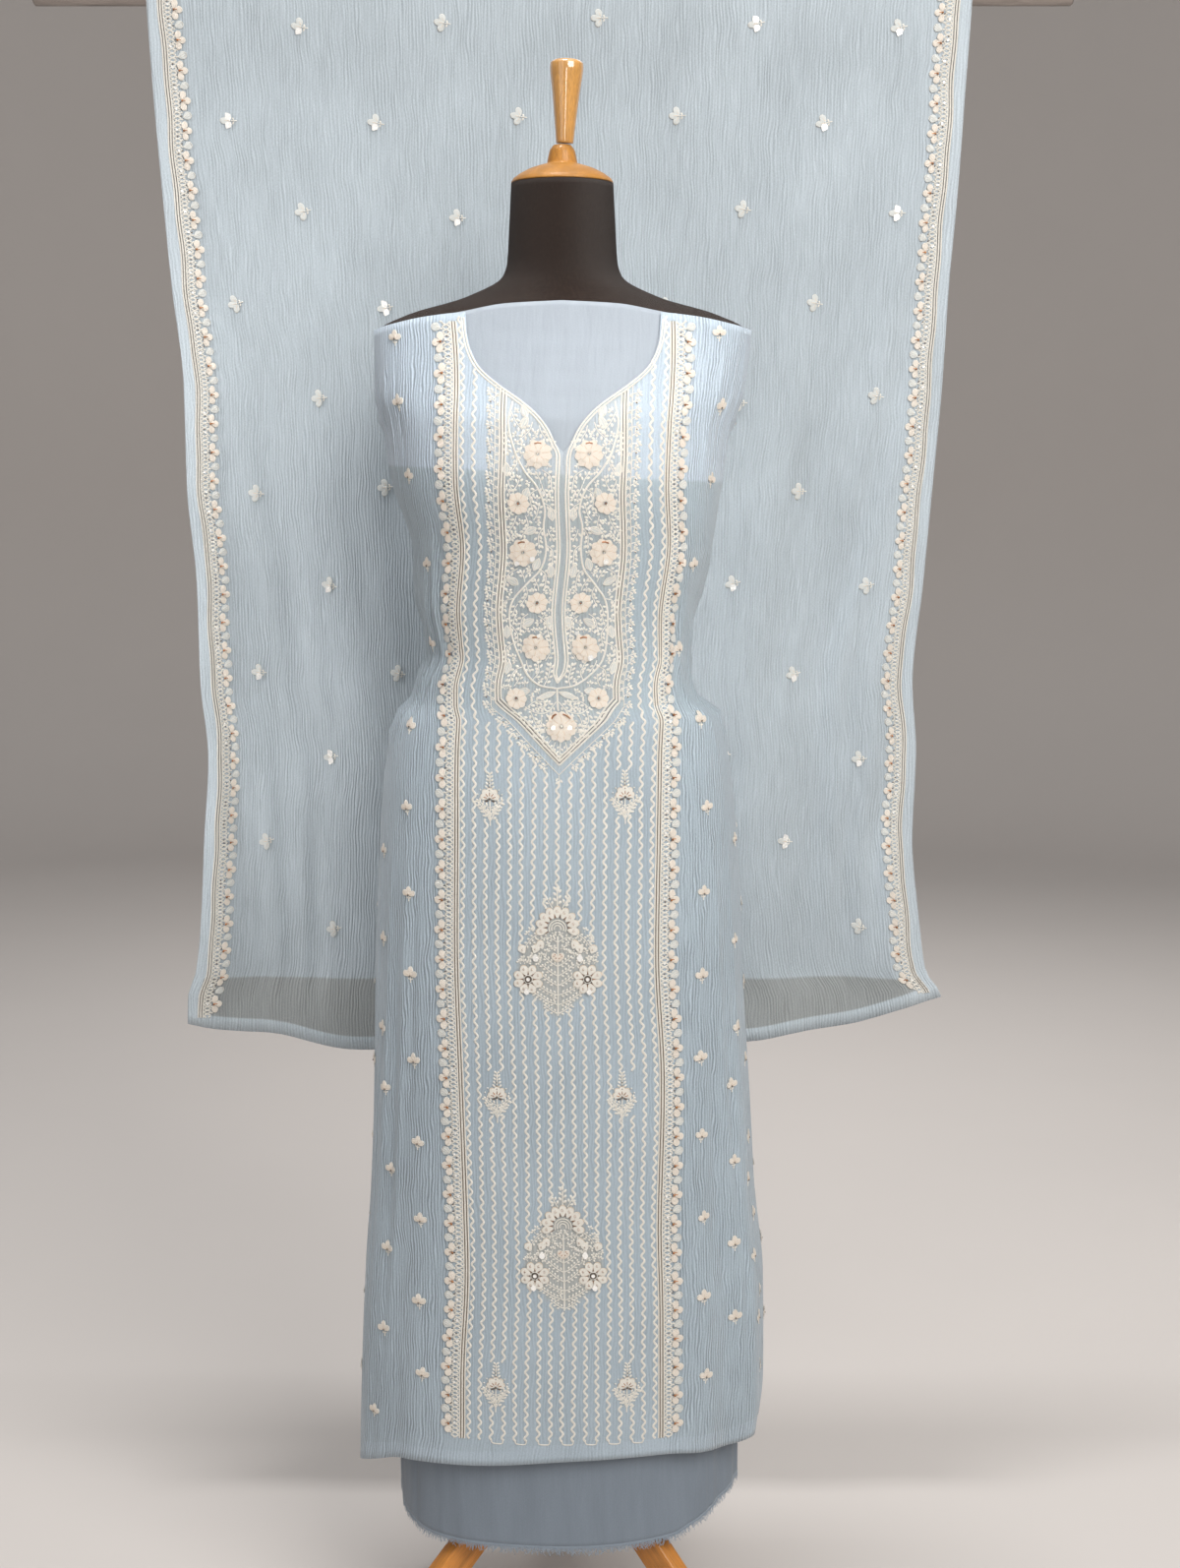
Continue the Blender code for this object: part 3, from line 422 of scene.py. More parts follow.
class Ground:
    """A cloth's shell as something to sew on: a flat place and a height go to a point."""

    def __init__(self, u, v, points):
        self.u, self.v, self.points = u, v, points
        self.outward = square_to(points)

    def lift(self, u, v, height):
        """Points at flat places, raised off the cloth."""
        column = np.clip((u - self.u[0]) / (self.u[1] - self.u[0]), 0, len(self.u) - 1.001)
        row = np.clip((v - self.v[0]) / (self.v[1] - self.v[0]), 0, len(self.v) - 1.001)
        i, j = row.astype(int), column.astype(int)
        s, t = (row - i)[:, None], (column - j)[:, None]

        def blend(values):
            low = values[i, j] * (1 - t) + values[i, j + 1] * t
            high = values[i + 1, j] * (1 - t) + values[i + 1, j + 1] * t
            return low * (1 - s) + high * s

        return blend(self.points) + blend(self.outward) * height[:, None]


def flat_grid(place, bottom, top, reach):
    """Heights, angles, points and distances round from the centre front on a wrapped cloth."""
    heights = np.arange(bottom, top, GRID_UP)
    angles = np.arange(-reach, reach + 0.1, GRID_ROUND)
    points = place(*np.meshgrid(angles, heights))
    around = np.concatenate([np.zeros((len(heights), 1)), np.cumsum(
        np.linalg.norm(np.diff(points, axis=1), axis=-1), axis=1)], axis=1)
    return heights, angles, points, around - around[:, [len(angles) // 2]]


def wrapped_ground(place, bottom, top, reach=150.0):
    """Ground on a wrapped cloth: u is the distance round from the centre front, v the height."""
    heights, _, points, around = flat_grid(place, bottom, top, reach)
    u = np.arange(-GROUND_HALF, GROUND_HALF + 0.0001, 0.003)
    even = np.stack([
        np.stack([np.interp(u, around[row], points[row, :, axis]) for axis in range(3)], axis=-1)
        for row in range(len(heights))
    ])
    return Ground(u, heights, even)


def distance_round(place, turn, z):
    """How far places on a wrapped cloth lie from the centre front, each at its own height."""
    heights, angles, _, around = flat_grid(
        place, z.min() - GRID_UP, z.max() + 2 * GRID_UP, GRID_REACH)
    row = np.clip((z - heights[0]) / GRID_UP, 0, len(heights) - 1.001)
    column = np.clip((turn - angles[0]) / GRID_ROUND, 0, len(angles) - 1.001)
    i, j = row.astype(int), column.astype(int)
    low = around[i, j] + (around[i, j + 1] - around[i, j]) * (column - j)
    high = around[i + 1, j] + (around[i + 1, j + 1] - around[i + 1, j]) * (column - j)
    return low + (high - low) * (row - i)


def dupatta_ground():
    """Ground on the dupatta: u is across the woven width, v the way along it."""
    across = np.linspace(-1, 1, 301)
    run = np.arange(-1.23, 1.17, 0.004)
    points = dupatta_place(*np.meshgrid(across, run))
    return Ground(across * DUPATTA_CUT_HALF, run, points)


# ------------------------------------------------------------------ meshes


def finished(made, replaced=None):
    """A finished piece: it rides on the set's one body and may stand in for a node of the model."""
    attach(made, "root")
    if replaced:
        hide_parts(replaced)
    return made


@lru_cache(None)
def grid_faces(rows, columns):
    """The corners of each face of a grid, read once from the grid operator."""
    grid = bmesh.new()
    bmesh.ops.create_grid(grid, x_segments=columns - 1, y_segments=rows - 1, size=1)
    corners = np.array([[v.index for v in face.verts] for face in grid.faces])
    grid.free()
    return corners


def linked(name, mesh, material):
    """An object of one finish on a mesh, set in the scene."""
    mesh.materials.append(material)
    made = bpy.data.objects.new(name, mesh)
    bpy.context.scene.collection.objects.link(made)
    return made


def mesh_object(name, points, faces, uv, material):
    """An object from joined arrays: points, faces of like size in a list, and a place per point."""
    mesh = bpy.data.meshes.new(name)
    mesh.from_pydata(points, [], [face for part in faces for face in part.tolist()])
    layer = mesh.uv_layers.new(name="cloth")
    corners = np.empty(len(mesh.loops), dtype=np.int32)
    mesh.loops.foreach_get("vertex_index", corners)
    layer.data.foreach_set("uv", uv[corners].astype(np.float32).ravel())
    mesh.polygons.foreach_set("use_smooth", np.ones(len(mesh.polygons), dtype=bool))
    mesh.update()
    return linked(name, mesh, material)


def shell(name, points, u, v, material, wall, marks=None):
    """A thin cloth shell: its outer face through rows of points, listed from the bottom row up."""
    rows, columns = points.shape[:2]
    uv = np.stack([u, v], axis=-1).reshape(-1, 2)
    made = mesh_object(name, points.reshape(-1, 3), [grid_faces(rows, columns)], uv, material)
    for label, values in (marks or {}).items():
        layer = made.data.attributes.new(label, "FLOAT", "POINT")
        layer.data.foreach_set("value", values.ravel().astype(np.float32))
    thickness = made.modifiers.new("wall", "SOLIDIFY")
    thickness.thickness = wall
    thickness.offset = -1
    return made


# ------------------------------------------------------------------ stitches


def drawn_form(kind):
    """One small raised form, on x -0.5 to 0.5, y 0 to 1 and z 0 to 1, as points and faces."""
    form = bmesh.new()
    if kind == "bead":
        bmesh.ops.create_icosphere(form, subdivisions=1, radius=0.5)
        bmesh.ops.translate(form, verts=form.verts, vec=(0, 0.5, 0.42))
    else:
        sides = {"petal": 12, "leaf": 10, "seed": 8, "sequin": 10, "drop": 10}[kind]
        bmesh.ops.create_circle(form, cap_ends=True, segments=sides, radius=0.5)
        bmesh.ops.rotate(form, verts=form.verts, matrix=Matrix.Rotation(math.pi / sides, 3, "Z"))
        inner = form.faces[:]
        if kind != "seed":
            rim = bmesh.ops.inset_region(form, faces=inner, thickness=0.13)["faces"]
            inner = [face for face in form.faces if face not in rim]
            for v in {v for face in inner for v in face.verts}:
                v.co.z = {"sequin": 0.2, "drop": 0.9}.get(kind, 0.8)
        middle = bmesh.ops.poke(form, faces=inner)["verts"]
        for v in middle:
            v.co.z = {"sequin": 0.0, "leaf": 0.45}.get(kind, 1.0)
        if kind == "sequin":
            for v in form.verts:
                v.co.z += 0.5
        bmesh.ops.translate(form, verts=form.verts, vec=(0, 0.5, 0))
        for v in form.verts:
            y = v.co.y
            if kind == "petal":
                v.co.x *= 0.42 + 0.66 * min(y / 0.62, 1.0)
            elif kind in ("leaf", "seed", "drop"):
                tip = 0.75 if kind == "drop" else 1.0
                v.co.x *= 1.16 * math.sin(math.pi * min(max(0.1 + 0.8 * y**tip, 0), 1))
    bmesh.ops.triangulate(form, faces=form.faces)
    form.verts.index_update()
    points = np.array([v.co[:] for v in form.verts])
    faces = np.array([[v.index for v in face.verts] for face in form.faces])
    form.free()
    return points, faces


def line_points(points, step=0.0016):
    """A path through some places, curved smoothly and set out evenly."""
    points = np.asarray(points, float)
    if len(points) > 2:
        before, after = 2 * points[0] - points[1], 2 * points[-1] - points[-2]
        full = np.vstack([before, points, after])
        t = np.linspace(0, 1, 9)[:-1, None]
        curve = []
        for a, b, c, d in zip(full, full[1:], full[2:], full[3:]):
            curve.append(0.5 * (2 * b + (c - a) * t + (2 * a - 5 * b + 4 * c - d) * t**2
                                + (3 * b - a - 3 * c + d) * t**3))
        points = np.vstack(curve + [points[-1:]])
    length = np.concatenate([[0], np.cumsum(np.linalg.norm(np.diff(points, axis=0), axis=1))])
    count = max(int(round(length[-1] / step)), 1) + 1
    even = np.linspace(0, length[-1], count)
    return np.stack([np.interp(even, length, points[:, axis]) for axis in (0, 1)], axis=-1)


class Stitching:
    """Stitches sewn on a ground, gathered by finish and made into one joined mesh for each."""

    def __init__(self, ground, clear):
        self.ground, self.clear = ground, clear
        self.forms, self.lines = {}, {}

    def form(self, finish, kind, u, v, toward, length, width, height, base=0.0):
        """A small raised form from a place, laid towards an angle from the way of u."""
        self.forms.setdefault(finish, {}).setdefault(kind, []).append(
            (u, v, toward, length, width, height, base))

    def line(self, finish, points, half_width, height, base=0.0):
        """A raised line of thread along a path."""
        self.lines.setdefault(finish, []).append(
            (np.asarray(points, float), half_width, height, base))

    def joined_lines(self, finish):
        flat, uv, faces, heights, start = [], [], [], [], 0
        for path, half_width, height, base in self.lines.get(finish, ()):
            ahead = np.gradient(path, axis=0)
            ahead /= np.maximum(np.linalg.norm(ahead, axis=1, keepdims=True), 1e-9)
            right = np.stack([ahead[:, 1], -ahead[:, 0]], axis=1)
            along = np.concatenate([[0], np.cumsum(np.linalg.norm(np.diff(path, axis=0), axis=1))])
            for side in (-1, 0, 1):
                flat.append(path + right * side * half_width)
                heights.append(np.full(len(path), base + (height if side == 0 else 0.0)))
                uv.append(np.stack([np.full(len(path), side * half_width), along], axis=1))
            count = len(path)
            strip = grid_faces(count, 3)
            row, column = strip // 3, strip % 3
            faces.append(column * count + row + start)
            start += 3 * count
        return flat, heights, uv, faces

    def joined_forms(self, finish, start):
        flat, uv, faces, heights = [], [], [], []
        for kind, rows in self.forms.get(finish, {}).items():
            points, corners = drawn_form(kind)
            rows = np.array(rows)
            u, v, toward, length, width, height, base = (rows[:, i, None] for i in range(7))
            x, y, z = points[:, 0] * width, points[:, 1] * length, points[:, 2] * height
            cosine, sine = np.cos(toward * RADIANS), np.sin(toward * RADIANS)
            flat.append(np.stack([u + x * sine + y * cosine, v - x * cosine + y * sine],
                                 axis=-1).reshape(-1, 2))
            heights.append((base + z).ravel())
            uv.append(np.stack([x, y], axis=-1).reshape(-1, 2))
            copies = np.arange(len(rows))[:, None, None] * len(points)
            faces.append((corners + copies).reshape(-1, 3) + start)
            start += len(rows) * len(points)
        return flat, heights, uv, faces

    def sewn(self, name, finish, slot, material):
        """The finish's stitches as one object."""
        flat, heights, uv, faces = self.joined_lines(finish)
        more = self.joined_forms(finish, sum(len(part) for part in flat))
        flat, heights, uv, faces = flat + more[0], heights + more[1], uv + more[2], faces + more[3]
        flat, heights = np.concatenate(flat), np.concatenate(heights)
        points = self.ground.lift(flat[:, 0], flat[:, 1], heights + self.clear)
        made = mesh_object(name, points, faces, np.concatenate(uv), material)
        return finished(made)


class Motif:
    """A figure drawn once round its own middle, then sewn at many places."""

    def __init__(self):
        self.forms, self.lines = [], []

    def form(self, finish, kind, x, y, toward, length, width, height, base=0.0):
        self.forms.append((finish, kind, x, y, toward, length, width, height, base))
        return self

    def line(self, finish, points, half_width, height, base=0.0):
        self.lines.append((finish, line_points(points), half_width, height, base))
        return self

    def petal(self, finish, edge, x, y, toward, length, width, height=0.0014):
        """A raised petal with a line of thread round it."""
        self.form(finish, "petal", x, y, toward, length, width, height)
        return self.add(petal_edge(edge, x, y, toward, length, width))

    def bead(self, finish, x, y, size, height, base=0.0):
        return self.form(finish, "bead", x, y, 90, size, size, height, base)

    def add(self, other, x=0.0, y=0.0, turn=0.0, size=1.0, mirror=False):
        """Draws another figure into this one."""
        other.sew(self, x, y, turn, size, mirror)
        return self

    def sew(self, target, u, v, turn=0.0, size=1.0, mirror=False):
        """Sews the figure at a place, turned anticlockwise, resized or mirrored."""
        cosine, sine = math.cos(turn * RADIANS) * size, math.sin(turn * RADIANS) * size
        flip = -1.0 if mirror else 1.0
        for finish, kind, x, y, toward, length, width, height, base in self.forms:
            x *= flip
            toward = 180.0 - toward if mirror else toward
            target.form(finish, kind, u + x * cosine - y * sine, v + x * sine + y * cosine,
                        toward + turn, length * size, width * size, height, base)
        for finish, path, half_width, height, base in self.lines:
            x, y = path[:, 0] * flip, path[:, 1]
            placed = np.stack([u + x * cosine - y * sine, v + x * sine + y * cosine], axis=1)
            row = (finish, placed, half_width, height, base)
            if isinstance(target, Motif):
                target.lines.append(row)
            else:
                target.line(*row)


# ------------------------------------------------------------------ where the stitching lies

# Inner edges of the two long borders on the kameez's flat cloth, from the centre front.
BORDER_LINE = Table(
    ("v", "left", "right"),
    (0.24, -0.0955, 0.1005), (0.328, -0.0962, 0.0986), (0.468, -0.0915, 0.0962),
    (0.644, -0.0944, 0.1005), (0.776, -0.0975, 0.0945), (0.948, -0.0942, 0.0987),
    (1.144, -0.093, 0.103), (1.316, -0.093, 0.1065), (1.42, -0.102, 0.1036),
)
MIDDLE_U = 0.0045         # the design's middle line
YOKE_HALF = 0.0595
YOKE_FRINGE = 0.0076      # from the yoke's outline to the stem of its leafy edge
AXIS = Table(
    ("v", "u"),
    (0.96, 0.0035), (1.034, 0.0052), (1.09, 0.0038), (1.184, 0.003), (1.28, 0.008), (1.34, 0.0062),
)
YOKE_TIP = (1.034, 0.974)  # height of the yoke's corners and of its point
PLACKET_FOOT = 1.058
YOKE_FAN = (0.0, 1.0085)  # the fan in the yoke's point, from its middle line
WAVE_PERIOD = 0.0103      # of the waved lines between the borders
HEM_STITCH = 0.262        # where the stitching starts above the kameez's hem
BORDER_TOP = 1.408
BOOTAS = ((0.0, 0.78), (0.003, 0.468))
BOOTA_WHEEL = (0.03, -0.0265)  # a large figure's wheels, from its middle
SPRIGS = ((-0.0663, 0.936), (0.0696, 0.938), (-0.0629, 0.63), (0.0648, 0.63), (-0.0673, 0.32),
          (0.0693, 0.32))
SIDE_BUTTIS = (
    (-0.1719, 1.39), (-0.168, 1.326), (-0.1597, 1.254), (-0.1481, 1.166), (-0.15, 1.084),
    (-0.1606, 1.002), (-0.1598, 0.92), (-0.159, 0.832), (-0.158, 0.748), (-0.1541, 0.658),
    (-0.1505, 0.572), (-0.1485, 0.49), (-0.1518, 0.402), (-0.1475, 0.324), (-0.205, 0.87),
    (-0.205, 0.778), (-0.205, 0.684), (-0.1966, 0.622), (-0.1897, 0.536), (-0.1947, 0.45),
    (-0.199, 0.362), (-0.2126, 0.268), (0.1604, 1.394), (0.1754, 1.322), (0.176, 1.25),
    (0.1485, 1.166), (0.137, 1.08), (0.1559, 1.008), (0.1613, 0.92), (0.1542, 0.834),
    (0.1517, 0.748), (0.1502, 0.662), (0.1508, 0.58), (0.1538, 0.492), (0.1507, 0.408),
    (0.1545, 0.322), (0.2163, 0.88), (0.205, 0.776), (0.205, 0.684), (0.1936, 0.626),
    (0.1956, 0.544), (0.1946, 0.456), (0.1948, 0.376), (0.2351, 0.514), (0.225, 0.436),
    (0.235, 0.365),
)


def polar(radius, angle, x=0.0, y=0.0):
    return x + radius * math.cos(angle * RADIANS), y + radius * math.sin(angle * RADIANS)


def coil(radius, turns, finish, half_width):
    """A spiral of thread."""
    steps = int(turns * 9)
    points = [polar(radius * (1 - 0.88 * i / steps), 90 + 360 * turns * i / steps)
              for i in range(steps + 1)]
    return Motif().line(finish, points, half_width, 0.0009, 0.0009)


def leafy(points, spacing=0.005, length=0.0034, width=0.0021, spread=44.0, stem=0.0005):
    """A stem with seed-shaped leaves standing off it, set by turns on its two sides."""
    figure = Motif().line("cord", points, stem, 0.0007)
    path = line_points(points, spacing / 2)
    ahead = np.degrees(np.arctan2(*np.gradient(path, axis=0).T[::-1]))
    for i, ((x, y), direction) in enumerate(zip(path[1:], ahead[1:])):
        toward = direction + (spread if i % 2 else -spread)
        figure.form("cord", "seed", *polar(0.0014, toward, x, y), toward, length, width, 0.0012)
    return figure.form("cord", "seed", *path[-1], ahead[-1], length, width, 0.0012)


def sprout(length=0.0032, width=0.0019):
    """Three seeds fanned from a short stem."""
    figure = Motif().line("cord", ((0, 0), (0, 0.0024)), 0.0004, 0.0007)
    for turn in (0, 52, -52):
        figure.form("cord", "seed", *polar(0.001, 90 + turn, 0, 0.0016), 90 + turn, length, width,
                    0.0012)
    return figure


def filled(figure, inside, step, room, piece, reach=0.0024, upright=False):
    """Sets a small piece wherever a figure leaves room, each leaning away from what is nearest."""
    marks = [np.array([polar(length / 2, toward, x, y)])
             for _, _, x, y, toward, length, *_ in figure.forms]
    taken = np.concatenate(marks + [path for _, path, *_ in figure.lines])
    (x0, y0, x1, y1), free_at = inside
    for row, y in enumerate(np.arange(y0, y1, step * 0.87)):
        for x in np.arange(x0 + step / 2 * (row % 2), x1, step):
            here = np.array([x + 0.0006 * math.sin(row * 2.3 + x * 900), y])
            away = here - taken
            nearest = int(np.argmin(np.hypot(*away.T)))
            if not free_at(*here) or np.hypot(*away[nearest]) < room:
                continue
            lean = math.copysign(24.0, away[nearest][0])
            aside = math.degrees(math.atan2(away[nearest][1] + 0.002, away[nearest][0]))
            for toward in (lean - 90, 90 - lean) if upright else (aside,):
                stem = np.array([polar(reach * share, toward, *here)
                                 for share in (0, 0.34, 0.67, 1)])
                clear = all(np.hypot(*(place - taken).T).min() >= room * 0.75
                            for place in stem[1:])
                if reach <= room or (free_at(*stem[-1]) and clear):
                    figure.add(piece, *polar(-0.0022, toward, *here), turn=toward - 90)
                    taken = np.vstack([taken, stem])
                    break
    return figure


def leaf_outline(length, width):
    """A leaf outlined in thread, its inside lightly crossed."""
    figure = Motif().form("sheer", "leaf", 0, 0.0006, 90, length * 0.9, width * 0.8, 0.0006)
    for side in (-1, 1):
        for share in (0.48, 0.2):
            figure.line("cord", ((0, 0), (side * width * share, length * 0.34),
                                 (side * width * share * 0.8, length * 0.72), (0, length)),
                        0.00055, 0.001)
    return figure


def petal_edge(finish, x, y, toward, length, width):
    """A raised outline round a petal."""
    points = [polar(length * far, toward, *polar(width * 0.46 * aside, toward + 90, x, y))
              for far, aside in ((0.1, -0.3), (0.55, -0.98), (0.92, -0.62), (1.02, 0.0),
                                 (0.92, 0.62), (0.55, 0.98), (0.1, 0.3))]
    return Motif().line(finish, points, 0.00042, 0.0007, 0.0004)


def butti(bright=(), satin="satin"):
    """Three drop-like petals above a short stem. Those that are bright are of sequin."""
    figure = Motif()
    for i, (toward, length) in enumerate(((90, 0.0096), (32, 0.0084), (148, 0.0084))):
        root = polar(0.0008, toward)
        finish, kind = ("glint", "drop") if i in bright else (satin, "petal")
        figure.form(finish, kind, *root, toward, length, 0.0062, 0.0015)
        if i not in bright:
            figure.add(petal_edge("cord", *root, toward, length, 0.0064))
            # A line of painted shade down the petal's middle.
            figure.line("seam", (polar(0.0022, toward), polar(0.0062, toward)), 0.00035, 0.0003,
                        0.0013)
    figure.bead("dark" if satin == "satin" else "cord", 0, 0.0002, 0.0018, 0.0016, 0.001)
    figure.line("cord", ((0, 0), (0.0004, -0.0062)), 0.0006, 0.0008)
    for side in (-1, 1):
        figure.form("cord", "seed", side * 0.0006, -0.003, 90 - side * 60, 0.0032, 0.0018, 0.0008)
    return figure


def sprig():
    """A small upright bush: a narrow leafy tip, three curled flowers and a wide leafy foot."""
    figure = Motif().line("cord", ((0, 0.026), (0, -0.027)), 0.0007, 0.0009)
    for y, half in ((0.0245, 0.0002), (0.021, 0.0006), (0.0175, 0.001), (0.014, 0.0014),
                    (0.0105, 0.002)):
        for side in (-1, 1):
            figure.form("cord", "seed", side * half, y, 90 - side * 46, 0.004, 0.0022, 0.0012)
        figure.bead("dark" if half > 0.0008 else "cord", 0, y - 0.0026, 0.0014, 0.0014, 0.0006)
    for toward, length in ((162, 0.0086), (18, 0.0086), (127, 0.0098), (53, 0.0098), (90, 0.01)):
        figure.petal("cord", "seam", *polar(0.0012, toward), toward, length, 0.0066, 0.0015)
        figure.line("bead", (polar(0.003, toward), polar(0.0064, toward)), 0.0004, 0.0004, 0.0014)
    figure.bead("dark", 0, -0.0012, 0.0028, 0.0024, 0.0014)
    for side in (-1, 1):
        figure.form("dark", "seed", side * 0.0012, -0.0018, 90 - side * 104, 0.0044, 0.0016, 0.001)
    for side in (-1, 1):
        for toward in (-4, 20, 44):
            angle = 90 - side * (90 - toward)
            figure.form("cord", "bead", *polar(0.0122, angle), angle, 0.0019, 0.0019, 0.0014)
        for x, rise, foot in ((0.0036, 0.0085, 0.0225), (0.0076, 0.01, 0.02),
                              (0.0104, 0.0095, 0.015), (0.0112, 0.0066, 0.009)):
            figure.add(leafy(
                ((0, -foot), (side * x * 0.5, rise * 0.38 - foot), (side * x, rise - foot)),
                0.0042, 0.0038, 0.0022))
    return figure


def wheel(petals, radius, ring, width):
    """A round flower of outlined petals with a curl of beads in each and a ringed middle."""
    figure = Motif()
    for i in range(petals):
        angle = 22 + 360 * i / petals
        figure.petal("cord", "seam", *polar(ring, angle), angle, radius - ring, width)
        figure.add(coil(0.0015, 1.1, "bead", 0.0003), *polar((radius + ring) * 0.56, angle))
        spoke = polar(ring, angle + 22), polar(radius * 0.72, angle + 22)
        figure.line("bead", spoke, 0.0003, 0.0009)
    figure.line("dark", [polar(0.0028, 30 * i) for i in range(13)], 0.0006, 0.0014, 0.0005)
    figure.line("cord", [polar(0.0042, 30 * i) for i in range(13)], 0.0005, 0.0016, 0.0004)
    return figure.form("glint", "sequin", 0, -0.002, 90, 0.004, 0.004, 0.0008, 0.0012)


def boota_half(y):
    """Half the width of the large figure at a height."""
    return float(np.interp(y, (-0.066, -0.05, -0.03, -0.008, 0.01, 0.03, 0.044, 0.062),
                           (0.003, 0.018, 0.03, 0.042, 0.036, 0.025, 0.013, 0.002)))


def boota():
    """The large figure: a crowned fan and two wheels round a branching tree."""
    figure = Motif().line("cord", ((0, 0.018), (0, -0.064)), 0.0009, 0.001)
    figure.add(leafy(((0, 0.047), (0, 0.064)), 0.0056, 0.0048, 0.0027, stem=0.0007))
    for side in (-1, 1):
        figure.add(leafy(((side * 0.005, 0.0465), (side * 0.0095, 0.0545)), 0.005, 0.0042, 0.0024))
    crown = 0.0265
    for i in range(9):
        toward = -12 + 204 * i / 8
        figure.petal("cord", "seam", *polar(0.01, toward, 0, crown), toward, 0.012, 0.0082, 0.0015)
        figure.add(coil(0.0019, 1.2, "bead", 0.00032), *polar(0.0168, toward, 0, crown))
        spoke = [polar(reach, toward + 12.7, 0, crown) for reach in (0.0102, 0.0165)]
        figure.line("bead", spoke, 0.0003, 0.0009)
    for radius in (0.0034, 0.006, 0.0086):
        arc = [polar(radius, -20 + 22 * i, 0, crown - 0.001) for i in range(11)]
        figure.line("cord", arc, 0.0007, 0.001)
    for side in (-1, 1):
        figure.add(leafy(((side * 0.0005, 0.012), (side * 0.01, 0.0165), (side * 0.019, 0.013),
                          (side * 0.024, 0.006)), 0.0042, 0.0032, 0.002))
        figure.add(leafy(
            ((side * 0.018, 0.0215), (side * 0.0265, 0.015), (side * 0.032, 0.008)),
            0.0042, 0.0032, 0.002))
        for x, y, toward in ((0.0335, 0.0, 62), (0.024, 0.0005, 112), (0.015, 0.005, 64)):
            root, out = (side * x, y), 90 - side * (90 - toward)
            figure.petal("cord", "seam", *root, out, 0.0092, 0.008)
            figure.add(coil(0.0014, 1.0, "bead", 0.0003), *polar(0.004, out, *root))
        figure.petal("satin", "cord", side * 0.0004, -0.0085, 90 - side * 27, 0.01, 0.0064)
        for x, y in ((0.0018, -0.005), (0.004, -0.003), (0.0026, -0.0012)):
            figure.bead("bead", side * x, y, 0.0013, 0.0012, 0.0012)
        figure.form("glint", "drop", side * 0.0222, -0.0085, 90, 0.0086, 0.0058, 0.0012, 0.0006)
        figure.add(wheel(8, 0.015, 0.0044, 0.0084), side * BOOTA_WHEEL[0], BOOTA_WHEEL[1])
        figure.form("glint", "drop", side * 0.0315, -0.0425, 90, 0.0072, 0.0052, 0.0012, 0.0014)
        for y, reach, rise in ((-0.013, 0.012, 0.0085), (-0.023, 0.014, 0.01),
                               (-0.033, 0.015, 0.0105), (-0.043, 0.0205, 0.01),
                               (-0.053, 0.0215, 0.011), (-0.062, 0.012, 0.0075)):
            figure.add(leafy(
                ((0, y), (side * reach * 0.5, y + rise * 0.38), (side * reach, y + rise)),
                0.0042, 0.0034, 0.002, stem=0.0006))

    def free_at(x, y):
        return abs(x) < boota_half(y) and math.dist((abs(x), y), BOOTA_WHEEL) > 0.0175

    return filled(figure, ((-0.042, -0.06, 0.042, 0.026), free_at), 0.0042, 0.0028,
                  sprout(0.0032, 0.0021))


def blossom(petals, radius, width, lift, start=-90.0):
    """One round of petals that overlap at the root, a line of painted shade between each two."""
    figure = Motif()
    for i in range(petals):
        angle = start + 360 * i / petals
        root = polar(0.0014, angle)
        figure.form("satin", "petal", *root, angle, radius - 0.0014, width, 0.0015, lift)
        # Painted shade: a dark seam line where two petals meet.
        fold = [polar(radius * share, angle + 180 / petals) for share in (0.42, 0.9)]
        figure.line("seam", fold, 0.00034, 0.0003, 0.0013 + lift)
    return figure


def big_flower():
    """A wide scalloped flower: an outer round of petals, a raised inner one and a coiled middle."""
    figure = blossom(9, 0.0142, 0.0088, 0.0)
    figure.add(blossom(7, 0.0096, 0.007, 0.0011, -70), y=0.0006)
    arc = ((-0.0034, 0.01), (0.0, 0.0108), (0.0034, 0.01))
    figure.line("bead", arc, 0.0007, 0.001, 0.0018)
    figure.add(coil(0.0032, 1.6, "seam", 0.0005), y=0.0004)
    return figure.bead("cord", 0, -0.0006, 0.0018, 0.0016, 0.0024)


def small_flower():
    """A round flower with a beaded middle."""
    figure = blossom(8, 0.0108, 0.0078, 0.0)
    for i in range(6):
        figure.bead("cord", *polar(0.0022, 60 * i), 0.0015, 0.0014, 0.0014)
    return figure.bead("bead", 0, -0.0009, 0.0019, 0.0018, 0.0018)


def edge_flower():
    """Half a flower on a border's edge, opening to the left."""
    figure = Motif()
    for toward, length, width in ((180, 0.0088, 0.0078), (104, 0.0098, 0.0072),
                                  (256, 0.0098, 0.0072)):
        figure.petal("satin", "cord", *polar(0.0008, toward), toward, length, width, 0.0018)
    figure.line("bead", (polar(0.0012, 150), polar(0.0046, 178)), 0.00045, 0.0005, 0.0016)
    return figure.bead("bead", -0.0006, -0.0014, 0.0026, 0.0024, 0.0014)


def edge_leaf():
    """One round pale leaf between two flowers of an edge."""
    figure = Motif().form("sheer", "petal", 0.001, -0.002, 158, 0.0094, 0.0088, 0.0014)
    figure.add(petal_edge("cord", 0.001, -0.002, 158, 0.0098, 0.009))
    for bend in (-0.001, 0.0012):
        vein = ((0, -0.0014), (-0.0034, bend), (-0.0062, 0.0012 + bend))
        figure.line("cord", vein, 0.00035, 0.0004, 0.0012)
    return figure


def border_u(share, v):
    """Where a lengthwise line runs: share is -1 on the left border and +1 on the right one."""
    left, right = BORDER_LINE.at(v, "left"), BORDER_LINE.at(v, "right")
    return (left + right) / 2 + share * (right - left) / 2


def yoke_point_v(u):
    """Height of the yoke's outline under a place across it."""
    corner, tip = YOKE_TIP
    return tip + (corner - tip) * min(abs(u - MIDDLE_U) / YOKE_HALF, 1.0)


